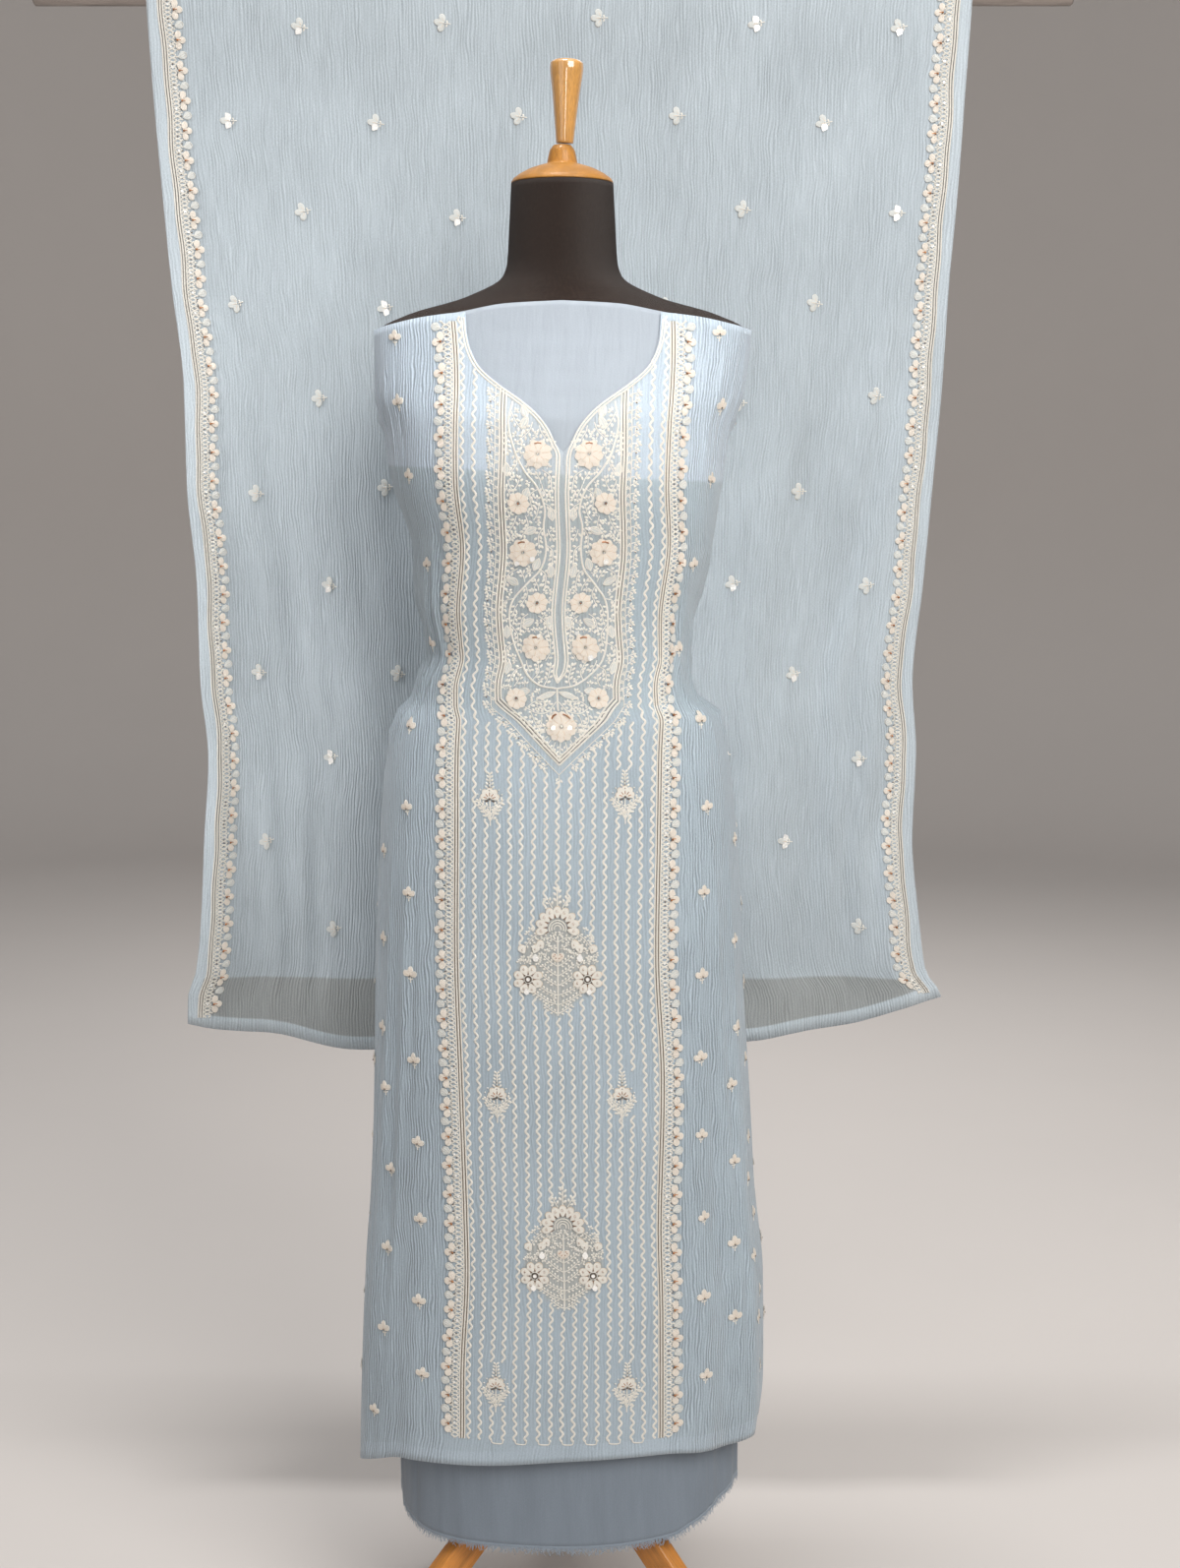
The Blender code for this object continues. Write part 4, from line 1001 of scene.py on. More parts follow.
@lru_cache
def neck_path(side):
    """The neck's edge on one side, from its lowest point up, on the kameez's flat cloth."""
    angles = np.linspace(0, 1, 121) * side * 44.0 + 1.2
    edge = kameez_top(angles)
    u = distance_round(kameez_place, angles, edge)
    under = edge < KAMEEZ_TOP.at(np.abs(angles), "z") - 0.004
    beside = side * (u - AXIS.at(edge, "u")) > 0.0005
    return np.stack([u, edge], axis=1)[under & beside]


def neck_v(u):
    """Height of the neck's edge over a place across it."""
    path = neck_path(1 if u > float(AXIS.at(1.3, "u")) else -1)
    return float(np.interp(u, *(path if path[0, 0] < path[-1, 0] else path[::-1]).T))


def figure_half(y):
    """Half the width that a large figure takes up at a height from its middle."""
    return np.interp(y, (-0.066, -0.05, -0.026, 0.0, 0.026, 0.049, 0.064),
                     (0.0, 0.02, 0.044, 0.04, 0.024, 0.011, 0.0), 0, 0)


def in_figure(u, v):
    """True where a large figure covers the waved lines."""
    return (any(abs(u - x) < figure_half(v - y) for x, y in BOOTAS)
            or any(abs(u - x) < 0.0125 and -0.019 < v - y < 0.026 for x, y in SPRIGS))


def close_sewn(u, v):
    """How much small stitches tint the cloth between them: the bootas' most, the yoke's less."""
    corner, tip = YOKE_TIP
    aside = np.abs(u - AXIS.at(v, "u"))
    low = tip + (corner - tip) * np.clip(aside / YOKE_HALF, 0, 1)
    share = 0.45 * smooth((YOKE_HALF + 0.01 - aside) / 0.005) * smooth((v - low + 0.012) / 0.008)
    for x, y in BOOTAS:
        share = np.maximum(share, smooth((figure_half(v - y) + 0.001 - np.abs(u - x)) / 0.006))
    return share


def sew_waves(stitching):
    """The waved lines between the borders, joined in pairs above the hem."""
    lines = 17
    for i in range(lines):
        share = -1 + 2 * i / (lines - 1)
        at_yoke = float(border_u(share, 1.04))
        if i in (0, lines - 1):
            top = BORDER_TOP + 0.004
        elif abs(at_yoke - MIDDLE_U) > 0.078:
            top = neck_v(float(border_u(share, 1.35))) - 0.006
        else:
            top = yoke_point_v(at_yoke) - 0.021
        v = np.arange(HEM_STITCH, top, WAVE_PERIOD / 8)
        sway = 0.0004 * np.sin(v * 31 + i * 1.7)
        u = border_u(share, v) + 0.0016 * np.sin(2 * math.pi * v / WAVE_PERIOD) + sway
        hidden = np.array([in_figure(a, b) for a, b in zip(border_u(share, v), v)])
        shown = np.flatnonzero(~hidden)
        for run in np.split(shown, np.flatnonzero(np.diff(shown) > 1) + 1):
            if len(run) > 3:
                stitching.line("cord", np.stack([u[run], v[run]], axis=1), 0.0012, 0.0009)
        if i % 2 == 0 and 0 < i < lines - 1:
            mate = border_u(share + 2 / (lines - 1), HEM_STITCH)
            turn = ((u[0], v[0]), (u[0] + 0.0012, v[0] - 0.003), (mate - 0.0012, v[0] - 0.0034),
                    (mate, v[0]))
            stitching.line("cord", line_points(turn), 0.0007, 0.0006)


def sew_border(stitching, path_at, first, last, side, flower_out, period, dark):
    """A long border: cords, lattice with beads, and scalloped flowers on its outer side.

    path_at gives u for an offset outward from the inner edge and places along the border.
    Flowers stand flower_out from that edge, a period apart; dark is the half width of the dark
    lines of painted shade between the cords."""
    v = np.arange(first, last, 0.0025)
    # Cream cords, with thin dark lines of painted shade between them.
    for finish, offset, half in (("cord", 0.004, 0.0008), ("dark", 0.0054, dark),
                                 ("cord", 0.0068, 0.0009), ("dark", 0.0082, dark),
                                 ("cord", 0.0096, 0.0008)):
        stitching.line(finish, np.stack([path_at(offset, v), v], axis=1), half,
                       0.001 if finish == "cord" else 0.0005)
    v, lattice, lattice_edge = np.arange(first, last, 0.0012), 0.0146, 0.018
    for phase in (0.0, math.pi):
        weave = lattice + 0.0038 * np.sin(2 * math.pi * v / 0.0092 + phase + 0.7 * np.sin(v * 61))
        stitching.line("cord", np.stack([path_at(weave, v), v], axis=1), 0.00088, 0.0009)
    out = 180 if side < 0 else 0
    for i, place in enumerate(np.arange(first + 0.0018, last, 0.0037)):
        swing = math.sin(i * 2.4)
        u = float(path_at(lattice + 0.0012 * swing, place))
        if i % 6 == 4:
            stitching.form("glint", "sequin", u, place - 0.0014, 90, 0.0028, 0.0028, 0.0013, 0.0006)
        elif math.sin(i * 5.3) > 0.25:
            stitching.form("dark", "seed", u, place - 0.0012, 90 + 38 * swing, 0.0026, 0.0014,
                           0.0008)
        if i % 2:
            edge = float(path_at(lattice_edge, place))
            stitching.form("cord", "seed", edge, place, out, 0.0034, 0.002, 0.0011)
            if math.sin(i * 3.7) > 0.1:
                stitching.form("dark", "seed", edge, place + 0.0026, out + 30, 0.0026, 0.0014,
                               0.0008)
    bright, pale = edge_flower(), edge_leaf()
    for i, place in enumerate(np.arange(first + period / 2, last - 0.006, period / 2)):
        u = float(path_at(flower_out + (0.0004 if i % 2 else -0.0002), place))
        figure = bright if i % 2 == 0 else pale
        figure.sew(stitching, u, place, 0.0, 0.98 + 0.03 * math.sin(i * 2.1), mirror=side > 0)


def eased(path, times):
    """A path with its corners eased, its ends kept."""
    for _ in range(times):
        path = np.concatenate([path[:1], (path[:-2] + 2 * path[1:-1] + path[2:]) / 4, path[-1:]])
    return path


def straight(points, step=0.0025):
    """A path with its corners kept sharp."""
    path = [points[0]]
    for a, b in zip(points, points[1:]):
        count = max(int(math.dist(a, b) / step), 1)
        path += [(a[0] + (b[0] - a[0]) * i / count, a[1] + (b[1] - a[1]) * i / count)
                 for i in range(1, count + 1)]
    return np.array(path)


class OnAxis:
    """Sews figures drawn from the design's middle line, which sways a little on the cloth."""

    def __init__(self, stitching):
        self.stitching = stitching

    def form(self, finish, kind, u, v, *rest):
        self.stitching.form(finish, kind, u + float(AXIS.at(v, "u")), v, *rest)

    def line(self, finish, points, *rest):
        points = np.asarray(points, float)
        bent = np.stack([points[:, 0] + AXIS.at(points[:, 1], "u"), points[:, 1]], axis=1)
        self.stitching.line(finish, bent, *rest)


# The left half of the yoke, from its middle line: the vine, then flowers, leaves and sprays.
VINE = (
    (-0.05, 1.328), (-0.0535, 1.306), (-0.048, 1.282), (-0.038, 1.262), (-0.024, 1.245),
    (-0.017, 1.225), (-0.019, 1.206), (-0.017, 1.186), (-0.021, 1.166), (-0.034, 1.15),
    (-0.046, 1.134), (-0.049, 1.115), (-0.045, 1.086), (-0.035, 1.064), (-0.019, 1.05),
    (-0.001, 1.0462),
)
YOKE_FLOWERS = (
    (-0.0248, 1.277, "big"), (-0.0395, 1.182, "big"), (-0.0246, 1.087, "big"),
    (-0.0425, 1.23, "small"), (-0.0215, 1.132, "small"), (-0.041, 1.036, "small"),
)
YOKE_LEAVES = (
    (-0.041, 1.302, 62), (-0.036, 1.312, 108), (-0.054, 1.256, 96), (-0.033, 1.245, -112),
    (-0.026, 1.206, 205), (-0.01, 1.213, 96), (-0.028, 1.164, 70), (-0.042, 1.15, 150),
    (-0.01, 1.157, 100), (-0.053, 1.096, 84), (-0.036, 1.109, 30), (-0.053, 1.06, 88),
    (-0.027, 1.044, 186), (-0.01, 1.106, 84),
)
YOKE_SPRAYS = (
    ((-0.052, 1.32), (-0.046, 1.308), (-0.04, 1.301)),
    ((-0.053, 1.302), (-0.0555, 1.291), (-0.0545, 1.28)),
    ((-0.03, 1.308), (-0.033, 1.3), (-0.04, 1.293)),
    ((-0.048, 1.28), (-0.045, 1.269), (-0.05, 1.26)),
    ((-0.02, 1.262), (-0.012, 1.256), (-0.01, 1.244)),
    ((-0.023, 1.244), (-0.031, 1.238), (-0.03, 1.227)),
    ((-0.017, 1.23), (-0.011, 1.226), (-0.01, 1.22)),
    ((-0.045, 1.218), (-0.048, 1.21), (-0.054, 1.202)),
    ((-0.036, 1.218), (-0.034, 1.208), (-0.04, 1.199)),
    ((-0.018, 1.208), (-0.024, 1.199), (-0.024, 1.19)),
    ((-0.018, 1.19), (-0.011, 1.184), (-0.0105, 1.173)),
    ((-0.023, 1.166), (-0.016, 1.16), (-0.015, 1.15)),
    ((-0.035, 1.15), (-0.032, 1.141), (-0.036, 1.132)),
    ((-0.044, 1.166), (-0.053, 1.16), (-0.0555, 1.148)),
    ((-0.046, 1.136), (-0.054, 1.133), (-0.056, 1.122)),
    ((-0.02, 1.119), (-0.013, 1.113), (-0.011, 1.101)),
    ((-0.03, 1.121), (-0.036, 1.116), (-0.038, 1.106)),
    ((-0.048, 1.11), (-0.042, 1.101), (-0.042, 1.092)),
    ((-0.046, 1.092), (-0.054, 1.086), (-0.0555, 1.075)),
    ((-0.016, 1.074), (-0.011, 1.082), (-0.01, 1.092)),
    ((-0.038, 1.068), (-0.045, 1.064), (-0.048, 1.056)),
    ((-0.025, 1.055), (-0.021, 1.062), (-0.023, 1.07)),
    ((-0.013, 1.049), (-0.0105, 1.057), (-0.0108, 1.068)),
    ((-0.03, 1.028), (-0.023, 1.033), (-0.015, 1.033)),
    ((-0.047, 1.023), (-0.04, 1.019), (-0.034, 1.012)),
    ((-0.028, 1.023), (-0.027, 1.014), (-0.022, 1.006)),
    ((-0.019, 1.018), (-0.021, 1.009), (-0.024, 1.001)),
)


def sew_outlines(stitching, axis):
    """The yoke's three cords with dark lines of painted shade between them, its leafy edge, the
    placket's cords and the neck's.
    """
    corner, tip = YOKE_TIP
    tuft = leafy(((0, 0), (0, 0.0052)), 0.004, 0.0046, 0.0024, 42.0)

    def outline(side, grow, drop):
        """Half a line round the yoke, grown past its outline, from the neck down to the point."""
        width = side * (YOKE_HALF + grow)
        high = neck_v(width + 0.004) - 0.0045
        return straight(((width, high), (width, corner - drop * 0.5), (0.0, tip - drop)))

    # Cream cords, with thin dark lines of painted shade between them.
    for finish, grow, half in (("cord", -0.003, 0.0009), ("dark", -0.0015, 0.0003),
                               ("cord", 0.0, 0.001), ("dark", 0.0015, 0.0003),
                               ("cord", 0.003, 0.0009)):
        for side in (-1, 1):
            axis.line(finish, outline(side, grow, grow * 1.25), half,
                      0.001 if finish == "cord" else 0.0004)
    for side in (-1, 1):
        path = outline(side, YOKE_FRINGE, YOKE_FRINGE * 1.75)
        axis.line("cord", path, 0.0005, 0.0008)
        places = line_points(path[::4], 0.008)[1:-1]
        ahead = np.degrees(np.arctan2(*np.gradient(places, axis=0).T[::-1]))
        for i, ((x, y), direction) in enumerate(zip(places, ahead)):
            out = direction + side * (104 + 16 * (i % 2))
            tuft.sew(axis, x, y, out - 90, 1.0 - 0.14 * (i % 2))
            if y > corner:
                tuft.sew(axis, x, y - 0.004, side * (40 + 14 * (i % 2)), 0.5)
            axis.form("dark" if i % 3 == 1 else "cord", "bead",
                      *polar(0.004, direction, *polar(0.005, out, x, y)),
                      90, 0.0019, 0.0019, 0.0014)
    tuft.sew(axis, 0, tip - 0.014, 180, 0.9)
    for side in (-1, 1):
        edge = neck_path(side)
        foot = float(edge[0][1])
        ahead = np.gradient(edge, axis=0)
        ahead /= np.linalg.norm(ahead, axis=1, keepdims=True)
        out = np.stack([ahead[:, 1], -ahead[:, 0]], axis=1) * side
        for near, away in ((0.0036, 0.0014), (0.0064, 0.004)):
            placket = straight(((0.0, PLACKET_FOOT - near), (side * near, PLACKET_FOOT + 0.004),
                                (side * near, foot - 0.006)))
            placket[:, 0] += AXIS.at(placket[:, 1], "u")
            neck = edge + out * away
            beyond = side * (neck[:, 0] - AXIS.at(neck[:, 1], "u")) > near + 0.0016
            path = line_points(np.concatenate([placket, neck[beyond]]))
            stitching.line("cord", eased(path, 4), 0.0009, 0.001)


def sew_yoke(stitching):
    """The yoke: its outlines, and vines, flowers, leaves and sprays on each side of the placket."""
    axis = OnAxis(stitching)
    sew_outlines(stitching, axis)
    half = Motif().line("cord", VINE, 0.001, 0.0012)
    flowers = {"big": big_flower(), "small": small_flower()}
    for i, (x, y, kind) in enumerate(YOKE_FLOWERS):
        half.add(flowers[kind], x, y, turn=9 * math.sin(i * 1.9))
    for x, y, toward in YOKE_LEAVES:
        half.add(leaf_outline(0.0132, 0.0068), x, y, turn=toward - 90)
    for spray in YOKE_SPRAYS:
        half.add(leafy(spray, 0.0048, 0.0046, 0.0025))
    half.add(leaf_outline(0.02, 0.005), -0.0014, 1.0428, turn=110)
    half.add(leafy(((-0.0012, 1.033), (-0.01, 1.0235), (-0.021, 1.0215), (-0.03, 1.026))))
    half.add(leafy(((-0.006, 1.027), (-0.012, 1.015), (-0.017, 1.006))))
    corner, tip = YOKE_TIP

    def free_at(x, y):
        foot = tip + (corner - tip) * min(abs(x) / YOKE_HALF, 1.0)
        return (-YOKE_HALF + 0.0055 < x < (-0.009 if y > 1.048 else -0.003)
                and max(foot + 0.012, 1.02) < y < neck_v(x + 0.006) - 0.011
                and math.dist((x, y), YOKE_FAN) > 0.019)

    room = (-YOKE_HALF, 1.02, 0.0, 1.345), free_at
    branch = leafy(((0, 0), (0.001, 0.006), (-0.0003, 0.014)), 0.0048, 0.0045, 0.0024)
    frond = leafy(((0, 0), (0.0007, 0.0045), (0, 0.0095)), 0.0048, 0.0043, 0.0023)
    filled(half, room, 0.005, 0.0056, branch, 0.0125, True)
    filled(half, room, 0.005, 0.0044, frond, 0.008, True)
    filled(half, room, 0.0044, 0.0033, sprout(0.0036, 0.0022))
    for side in (False, True):
        half.sew(axis, 0.0, 0.0, mirror=side)
    for x, y, size in ((-0.029, 1.179, 1.0), (0.03, 1.08, 1.1), (-0.044, 1.174, 0.9),
                       (0.018, 1.104, 0.7), (-0.02, 1.101, 0.7), (0.043, 1.176, 1.0),
                       (-0.018, 1.242, 0.6), (0.026, 1.208, 0.7)):
        axis.form("glint", "drop", x, y, 250, 0.0062 * size, 0.005 * size, 0.001, 0.0022)

    Motif().line("cord", ((0, 1.047), (0, 1.024)), 0.001, 0.001).sew(axis, 0.0, 0.0)
    fan = blossom(11, 0.0146, 0.0078, 0.0)
    fan.add(blossom(7, 0.01, 0.0066, 0.0011))
    fan.bead("cord", 0, -0.0014, 0.003, 0.0024, 0.0018)
    for side in (-1, 1):
        arc = [(side * x, y) for x, y in ((0.003, 0.0112), (0.0062, 0.0098), (0.0086, 0.007))]
        fan.line("bead", arc, 0.0007, 0.001, 0.0018)
        fan.form("glint", "drop", side * 0.0058, 0.0004, 90 - side * 130, 0.0052, 0.004, 0.001,
                 0.0022)
    fan.sew(axis, *YOKE_FAN, size=1.08)
    for i in range(9):
        toward = 198 + 18 * i
        reach = 0.0062 + 0.0035 * (i in (3, 4, 5)) + 0.004 * (i == 4)
        spray = leafy((polar(0.0162, toward), polar(0.0162 + reach, toward)), 0.0044)
        spray.sew(axis, *YOKE_FAN)


def sew_kameez(stitching):
    """Everything sewn to the kameez."""
    sew_waves(stitching)
    for side in (-1, 1):
        sew_border(stitching, lambda out, v, side=side: border_u(side, v) + side * out,
                   HEM_STITCH, BORDER_TOP, side, flower_out=0.0205, period=0.0308, dark=0.0005)
    sew_yoke(stitching)
    large, small, single = boota(), sprig(), butti()
    for u, v in BOOTAS:
        large.sew(stitching, u, v)
    for u, v in SPRIGS:
        small.sew(stitching, u, v)
    for i, (u, v) in enumerate(SIDE_BUTTIS):
        single.sew(stitching, u, v, 7 * math.sin(i * 2.3), 0.95 + 0.06 * math.sin(i * 1.7))
    for side in (-1, 1):
        for column, reach in enumerate((0.262, 0.308, 0.354, 0.4, 0.446)):
            for row, v in enumerate(np.arange(0.3, 1.36, 0.084)):
                if v > 0.95 and column > 1:
                    continue
                single.sew(stitching, side * reach, v + 0.042 * (column % 2),
                           8 * math.sin(row * 2.9 + column), 0.95, mirror=side > 0)


def sew_dupatta(stitching):
    """Borders along both selvedges of the dupatta, and small flowers scattered between them."""
    edge = DUPATTA_CUT_HALF - 0.0095
    front, back = DUPATTA_SEWN[0] - RAIL_Z, math.pi * DUPATTA_OUTER + RAIL_Z - DUPATTA_SEWN[1]
    for side in (-1, 1):
        def path_at(out, v):
            ripple = 0.0008 * np.sin(v * 37 + side) + 0.0006 * np.sin(v * 83)
            return side * (edge - out) + ripple

        first = float(DUPATTA_HEM.at(side * 0.94, "z")) - RAIL_Z + 0.013
        sew_border(stitching, path_at, first, back, -side, flower_out=0.0215, period=0.0322,
                   dark=0.0003)
    plain, lit, brighter = (butti(bright, "sheer") for bright in ((), (2,), (1, 2)))
    kinds = (plain, lit, plain, brighter, plain, plain, lit)
    for row in range(-11, 11):
        for column in range(-2, 3):
            u = (0.047, -0.0375)[row % 2] + 0.1685 * column
            u += 0.006 * math.sin(column * 2.1 + row * 1.3)
            v = -0.033 + 0.1026 * row + 0.005 * math.cos(column * 1.7 + row)
            if front + 0.01 < v < back - 0.01:
                figure = kinds[(3 * column + 5 * row) % 7]
                figure.sew(stitching, u, v, 90 + 12 * math.sin(row + column), 1.12)


# ------------------------------------------------------------------ finishes


class Tree:
    """Nodes of a material or a group, added one by one with what feeds each of them."""

    def __init__(self, tree):
        self.tree = tree

    def add(self, kind, feeds=None, **settings):
        node = self.tree.nodes.new(kind)
        for name, value in settings.items():
            setattr(node, name, value)
        return self.feed(node, feeds or {})

    def feed(self, node, feeds):
        """Feeds a node's inputs, each from another node's output or with a fixed value."""
        for name, value in feeds.items():
            if isinstance(value, bpy.types.NodeSocket):
                self.tree.links.new(value, node.inputs[name])
            else:
                node.inputs[name].default_value = value
        return node

    def maths(self, operation, *values):
        return self.add("ShaderNodeMath", dict(enumerate(values)), operation=operation).outputs[0]

    def plus(self, first, second):
        return self.maths("ADD", first, second)

    def times(self, first, second):
        return self.maths("MULTIPLY", first, second)

    def blend(self, share, first, second):
        feeds = {0: share, 6: first, 7: second}
        return self.add("ShaderNodeMix", feeds, data_type="RGBA").outputs[2]

    def range(self, value, low, high, to_low=0.0, to_high=1.0):
        feeds = {"Value": value, "From Min": low, "From Max": high, "To Min": to_low,
                 "To Max": to_high}
        return self.add("ShaderNodeMapRange", feeds).outputs[0]

    def stretched(self, place, x, y, z=0.0):
        feeds = {0: place, 1: (x, y, z)}
        return self.add("ShaderNodeVectorMath", feeds, operation="MULTIPLY").outputs[0]

    def noise(self, place, detail=2.0, roughness=0.5, distortion=0.0):
        feeds = {"Vector": place, "Scale": 1.0, "Detail": detail, "Roughness": roughness,
                 "Distortion": distortion}
        return self.add("ShaderNodeTexNoise", feeds).outputs[0]

    def split(self, place):
        return self.add("ShaderNodeSeparateXYZ", {0: place}).outputs

    def object_place(self):
        return self.add("ShaderNodeTexCoord").outputs["Object"]

    def cloth_place(self):
        return self.add("ShaderNodeUVMap", uv_map="cloth").outputs[0]


def new_group(name, outputs, **numbers):
    """A node group that takes a place and some numbers and gives others, with its tree and ends."""
    group = bpy.data.node_groups.new(name, "ShaderNodeTree")
    group.interface.new_socket("Place", in_out="INPUT", socket_type="NodeSocketVector")
    for label, value in numbers.items():
        socket = group.interface.new_socket(label, in_out="INPUT", socket_type="NodeSocketFloat")
        socket.default_value = value
    for label in outputs:
        group.interface.new_socket(label, in_out="OUTPUT", socket_type="NodeSocketFloat")
    tree = Tree(group)
    return group, tree, tree.add("NodeGroupInput").outputs, tree.add("NodeGroupOutput")


def crinkle_group():
    """Lengthwise crinkles, finer streaks and the weave's grain, on a cloth's flat metres."""
    group, tree, given, out = new_group("Crinkle", ("Height", "Streak", "Grain"),
                                        Across=280.0, Along=26.0)
    slow = tree.noise(tree.stretched(given["Place"], 9.0, 16.0), 1.0)
    drift = tree.times(tree.maths("SUBTRACT", slow, 0.5), 0.008)
    shift = tree.add("ShaderNodeCombineXYZ", {"X": drift}).outputs[0]
    place = tree.add("ShaderNodeVectorMath", {0: given["Place"], 1: shift}).outputs[0]
    lines = []
    for share, reach in ((0.3, 2.0), (0.42, 1.2)):
        across = tree.times(given["Across"], share)
        along = tree.times(given["Along"], reach)
        scale = tree.add("ShaderNodeCombineXYZ", {"X": across, "Y": along, "Z": 1.0}).outputs[0]
        at = tree.add("ShaderNodeVectorMath", {0: place, 1: scale}, operation="MULTIPLY").outputs[0]
        lines.append(tree.noise(at, 1.0, 0.5))
    split = tree.split(place)
    turns = tree.plus(tree.times(split["X"], given["Across"]), tree.times(lines[0], 1.7))
    wave = tree.maths("SINE", tree.times(turns, 2 * math.pi))
    strength = tree.range(lines[1], 0.34, 0.62, 0.12, 0.5)
    height = tree.plus(tree.times(wave, strength), 0.5)
    streak = tree.noise(tree.stretched(place, 980.0, 30.0), 1.5, 0.55)
    threads = tree.plus(tree.noise(tree.stretched(place, 2600.0, 420.0), 0.0),
                        tree.noise(tree.stretched(place, 420.0, 2600.0, 1.0), 0.0))
    tree.feed(out, {"Height": height, "Streak": streak, "Grain": tree.times(threads, 0.5)})
    return group


def satin_group():
    """Threads laid side by side across a stitch, on the stitch's own metres."""
    group, tree, given, out = new_group("Laid Threads", ("Height", "Tone"),
                                        Pitch=0.0006, Slant=0.6)
    split = tree.split(given["Place"])
    slanted = tree.plus(split["Y"], tree.times(split["X"], given["Slant"]))
    turns = tree.times(tree.maths("DIVIDE", slanted, given["Pitch"]), 2 * math.pi)
    height = tree.range(tree.maths("SINE", turns), -1.0, 1.0)
    tone = tree.noise(tree.stretched(given["Place"], 700.0, 900.0), 1.0)
    tree.feed(out, {"Height": height, "Tone": tone})
    return group


def grain_group():
    """Rings and pores of wood, long along one axis of a place in metres."""
    group, tree, given, out = new_group("Wood Grain", ("Tone", "Pore"))
    slow = tree.noise(tree.stretched(given["Place"], 3.0, 34.0, 34.0), 3.0, 0.55, 0.8)
    pores = tree.noise(tree.stretched(given["Place"], 60.0, 1100.0, 1100.0), 2.0, 0.6)
    tree.feed(out, {"Tone": slow, "Pore": tree.range(pores, 0.45, 0.75)})
    return group


def shared(tree, name, build, **feeds):
    """The outputs of a node group that is built once and fed here."""
    group = bpy.data.node_groups.get(name) or build()
    return tree.add("ShaderNodeGroup", feeds, node_tree=group).outputs


def new_material(name, **values):
    """A material, its tree and its main shader with some of its inputs' values set."""
    material = bpy.data.materials.new(name)
    material.use_nodes = True
    tree = Tree(material.node_tree)
    shader = material.node_tree.nodes["Principled BSDF"]
    for label, value in values.items():
        shader.inputs[label.replace("_", " ")].default_value = value
    return material, tree, shader


def bumped(tree, shader, height, distance):
    feeds = {"Height": height, "Distance": distance, "Strength": 1.0}
    tree.feed(shader, {"Normal": tree.add("ShaderNodeBump", feeds).outputs[0]})


def attribute(tree, name):
    return tree.add("ShaderNodeAttribute", attribute_name=name).outputs["Fac"]


def colour_share(colour, share):
    """A colour made darker or lighter."""
    return [min(part * share, 1.0) for part in colour[:3]] + [1.0]


def sheer_cloth(name, backed, bare, across, along, depth, crinkle_shade, alpha=1.0, sewn=None):
    """Crinkled see-through cloth: its colours over a backing, over nothing and under stitches, with
    painted shade in its crinkles' hollows and painted light on their ridges.
    """
    material, tree, shader = new_material(name, Roughness=0.62, Sheen_Weight=0.25,
                                          Sheen_Roughness=0.45, Specular_IOR_Level=0.14)
    height, streak, grain = shared(tree, "Crinkle", crinkle_group, Place=tree.cloth_place(),
                                   Across=across, Along=along)
    ruffled = attribute(tree, "ruffled")
    firm = tree.range(attribute(tree, "firm"), -0.001, 0.001)
    behind = tree.range(attribute(tree, "backing"), -0.0015, 0.0015)
    colour = tree.blend(tree.maths("MAXIMUM", firm, behind), bare, backed)
    if sewn:
        colour = tree.blend(tree.times(attribute(tree, "sewn"), 0.4), colour, sewn)
    mottled = tree.noise(tree.stretched(tree.cloth_place(), 11.0, 6.0), 2.0)
    # Painted shade and light: darker in the crinkles' hollows, lighter on their ridges, as much as
    # crinkle_shade gives; the mottling, streaks and grain added next are random tone.
    tone = tree.times(tree.maths("SUBTRACT", height, 0.5), tree.times(ruffled, crinkle_shade))
    tone = tree.plus(tone, tree.range(mottled, 0.3, 0.7, 1.04, 0.92))
    tone = tree.plus(tone, tree.range(streak, 0.3, 0.7, -0.05, 0.05))
    tone = tree.plus(tone, tree.range(grain, 0.42, 0.58, -0.1, 0.06))
    toned = tree.add("ShaderNodeVectorMath", {0: colour, "Scale": tone}, operation="SCALE")
    tree.feed(shader, {"Base Color": toned.outputs[0]})
    relief = tree.plus(tree.times(height, ruffled), tree.times(streak, 0.12))
    bumped(tree, shader, tree.plus(relief, tree.times(grain, 0.06)), depth)
    if alpha < 1.0:
        firm = tree.maths("MAXIMUM", firm, tree.range(streak, 0.35, 0.75, 0.0, 0.5))
        tree.feed(shader, {"Alpha": tree.range(firm, 0.0, 1.0, alpha, 1.0)})
    return material


def thread(name, colour, deep, pitch, gloss, depth=0.0002, root_shade=0.0):
    """Laid threads with a soft lustre: painted shade in the grooves between them, and more painted
    shade over a form's root if its length is given.
    """
    material, tree, shader = new_material(name, Roughness=gloss, Sheen_Weight=0.3,
                                          Sheen_Roughness=0.35, Specular_IOR_Level=0.4)
    height, tone = shared(tree, "Laid Threads", satin_group, Place=tree.cloth_place(), Pitch=pitch)
    # Painted shade: darker in the grooves between the laid threads; the next blend is random tone.
    colour = tree.blend(tree.range(height, 0.45, 0.0, 0.0, 0.45), colour, deep)
    colour = tree.blend(tree.range(tone, 0.45, 0.7, 0.0, 0.25), colour, deep)
    # Painted shade over a petal's root, where it meets the flower's middle.
    if root_shade:
        root = tree.range(tree.split(tree.cloth_place())["Y"], root_shade, 0.0, 0.0, 0.42)
        colour = tree.blend(root, colour, colour_share(deep, 0.8))
    tree.feed(shader, {"Base Color": colour})
    bumped(tree, shader, height, depth)
    return material


def small_metal(name, colour, deep, roughness, metallic):
    """Beads and sequins, a little uneven in colour from one to the next."""
    material, tree, shader = new_material(name, Metallic=metallic)
    uneven = tree.noise(tree.stretched(tree.object_place(), 310.0, 310.0, 310.0), 1.0)
    tree.feed(shader, {
        "Base Color": tree.blend(tree.range(uneven, 0.3, 0.7), colour, deep),
        "Roughness": tree.range(uneven, 0.3, 0.7, roughness, roughness + 0.15)})
    return material


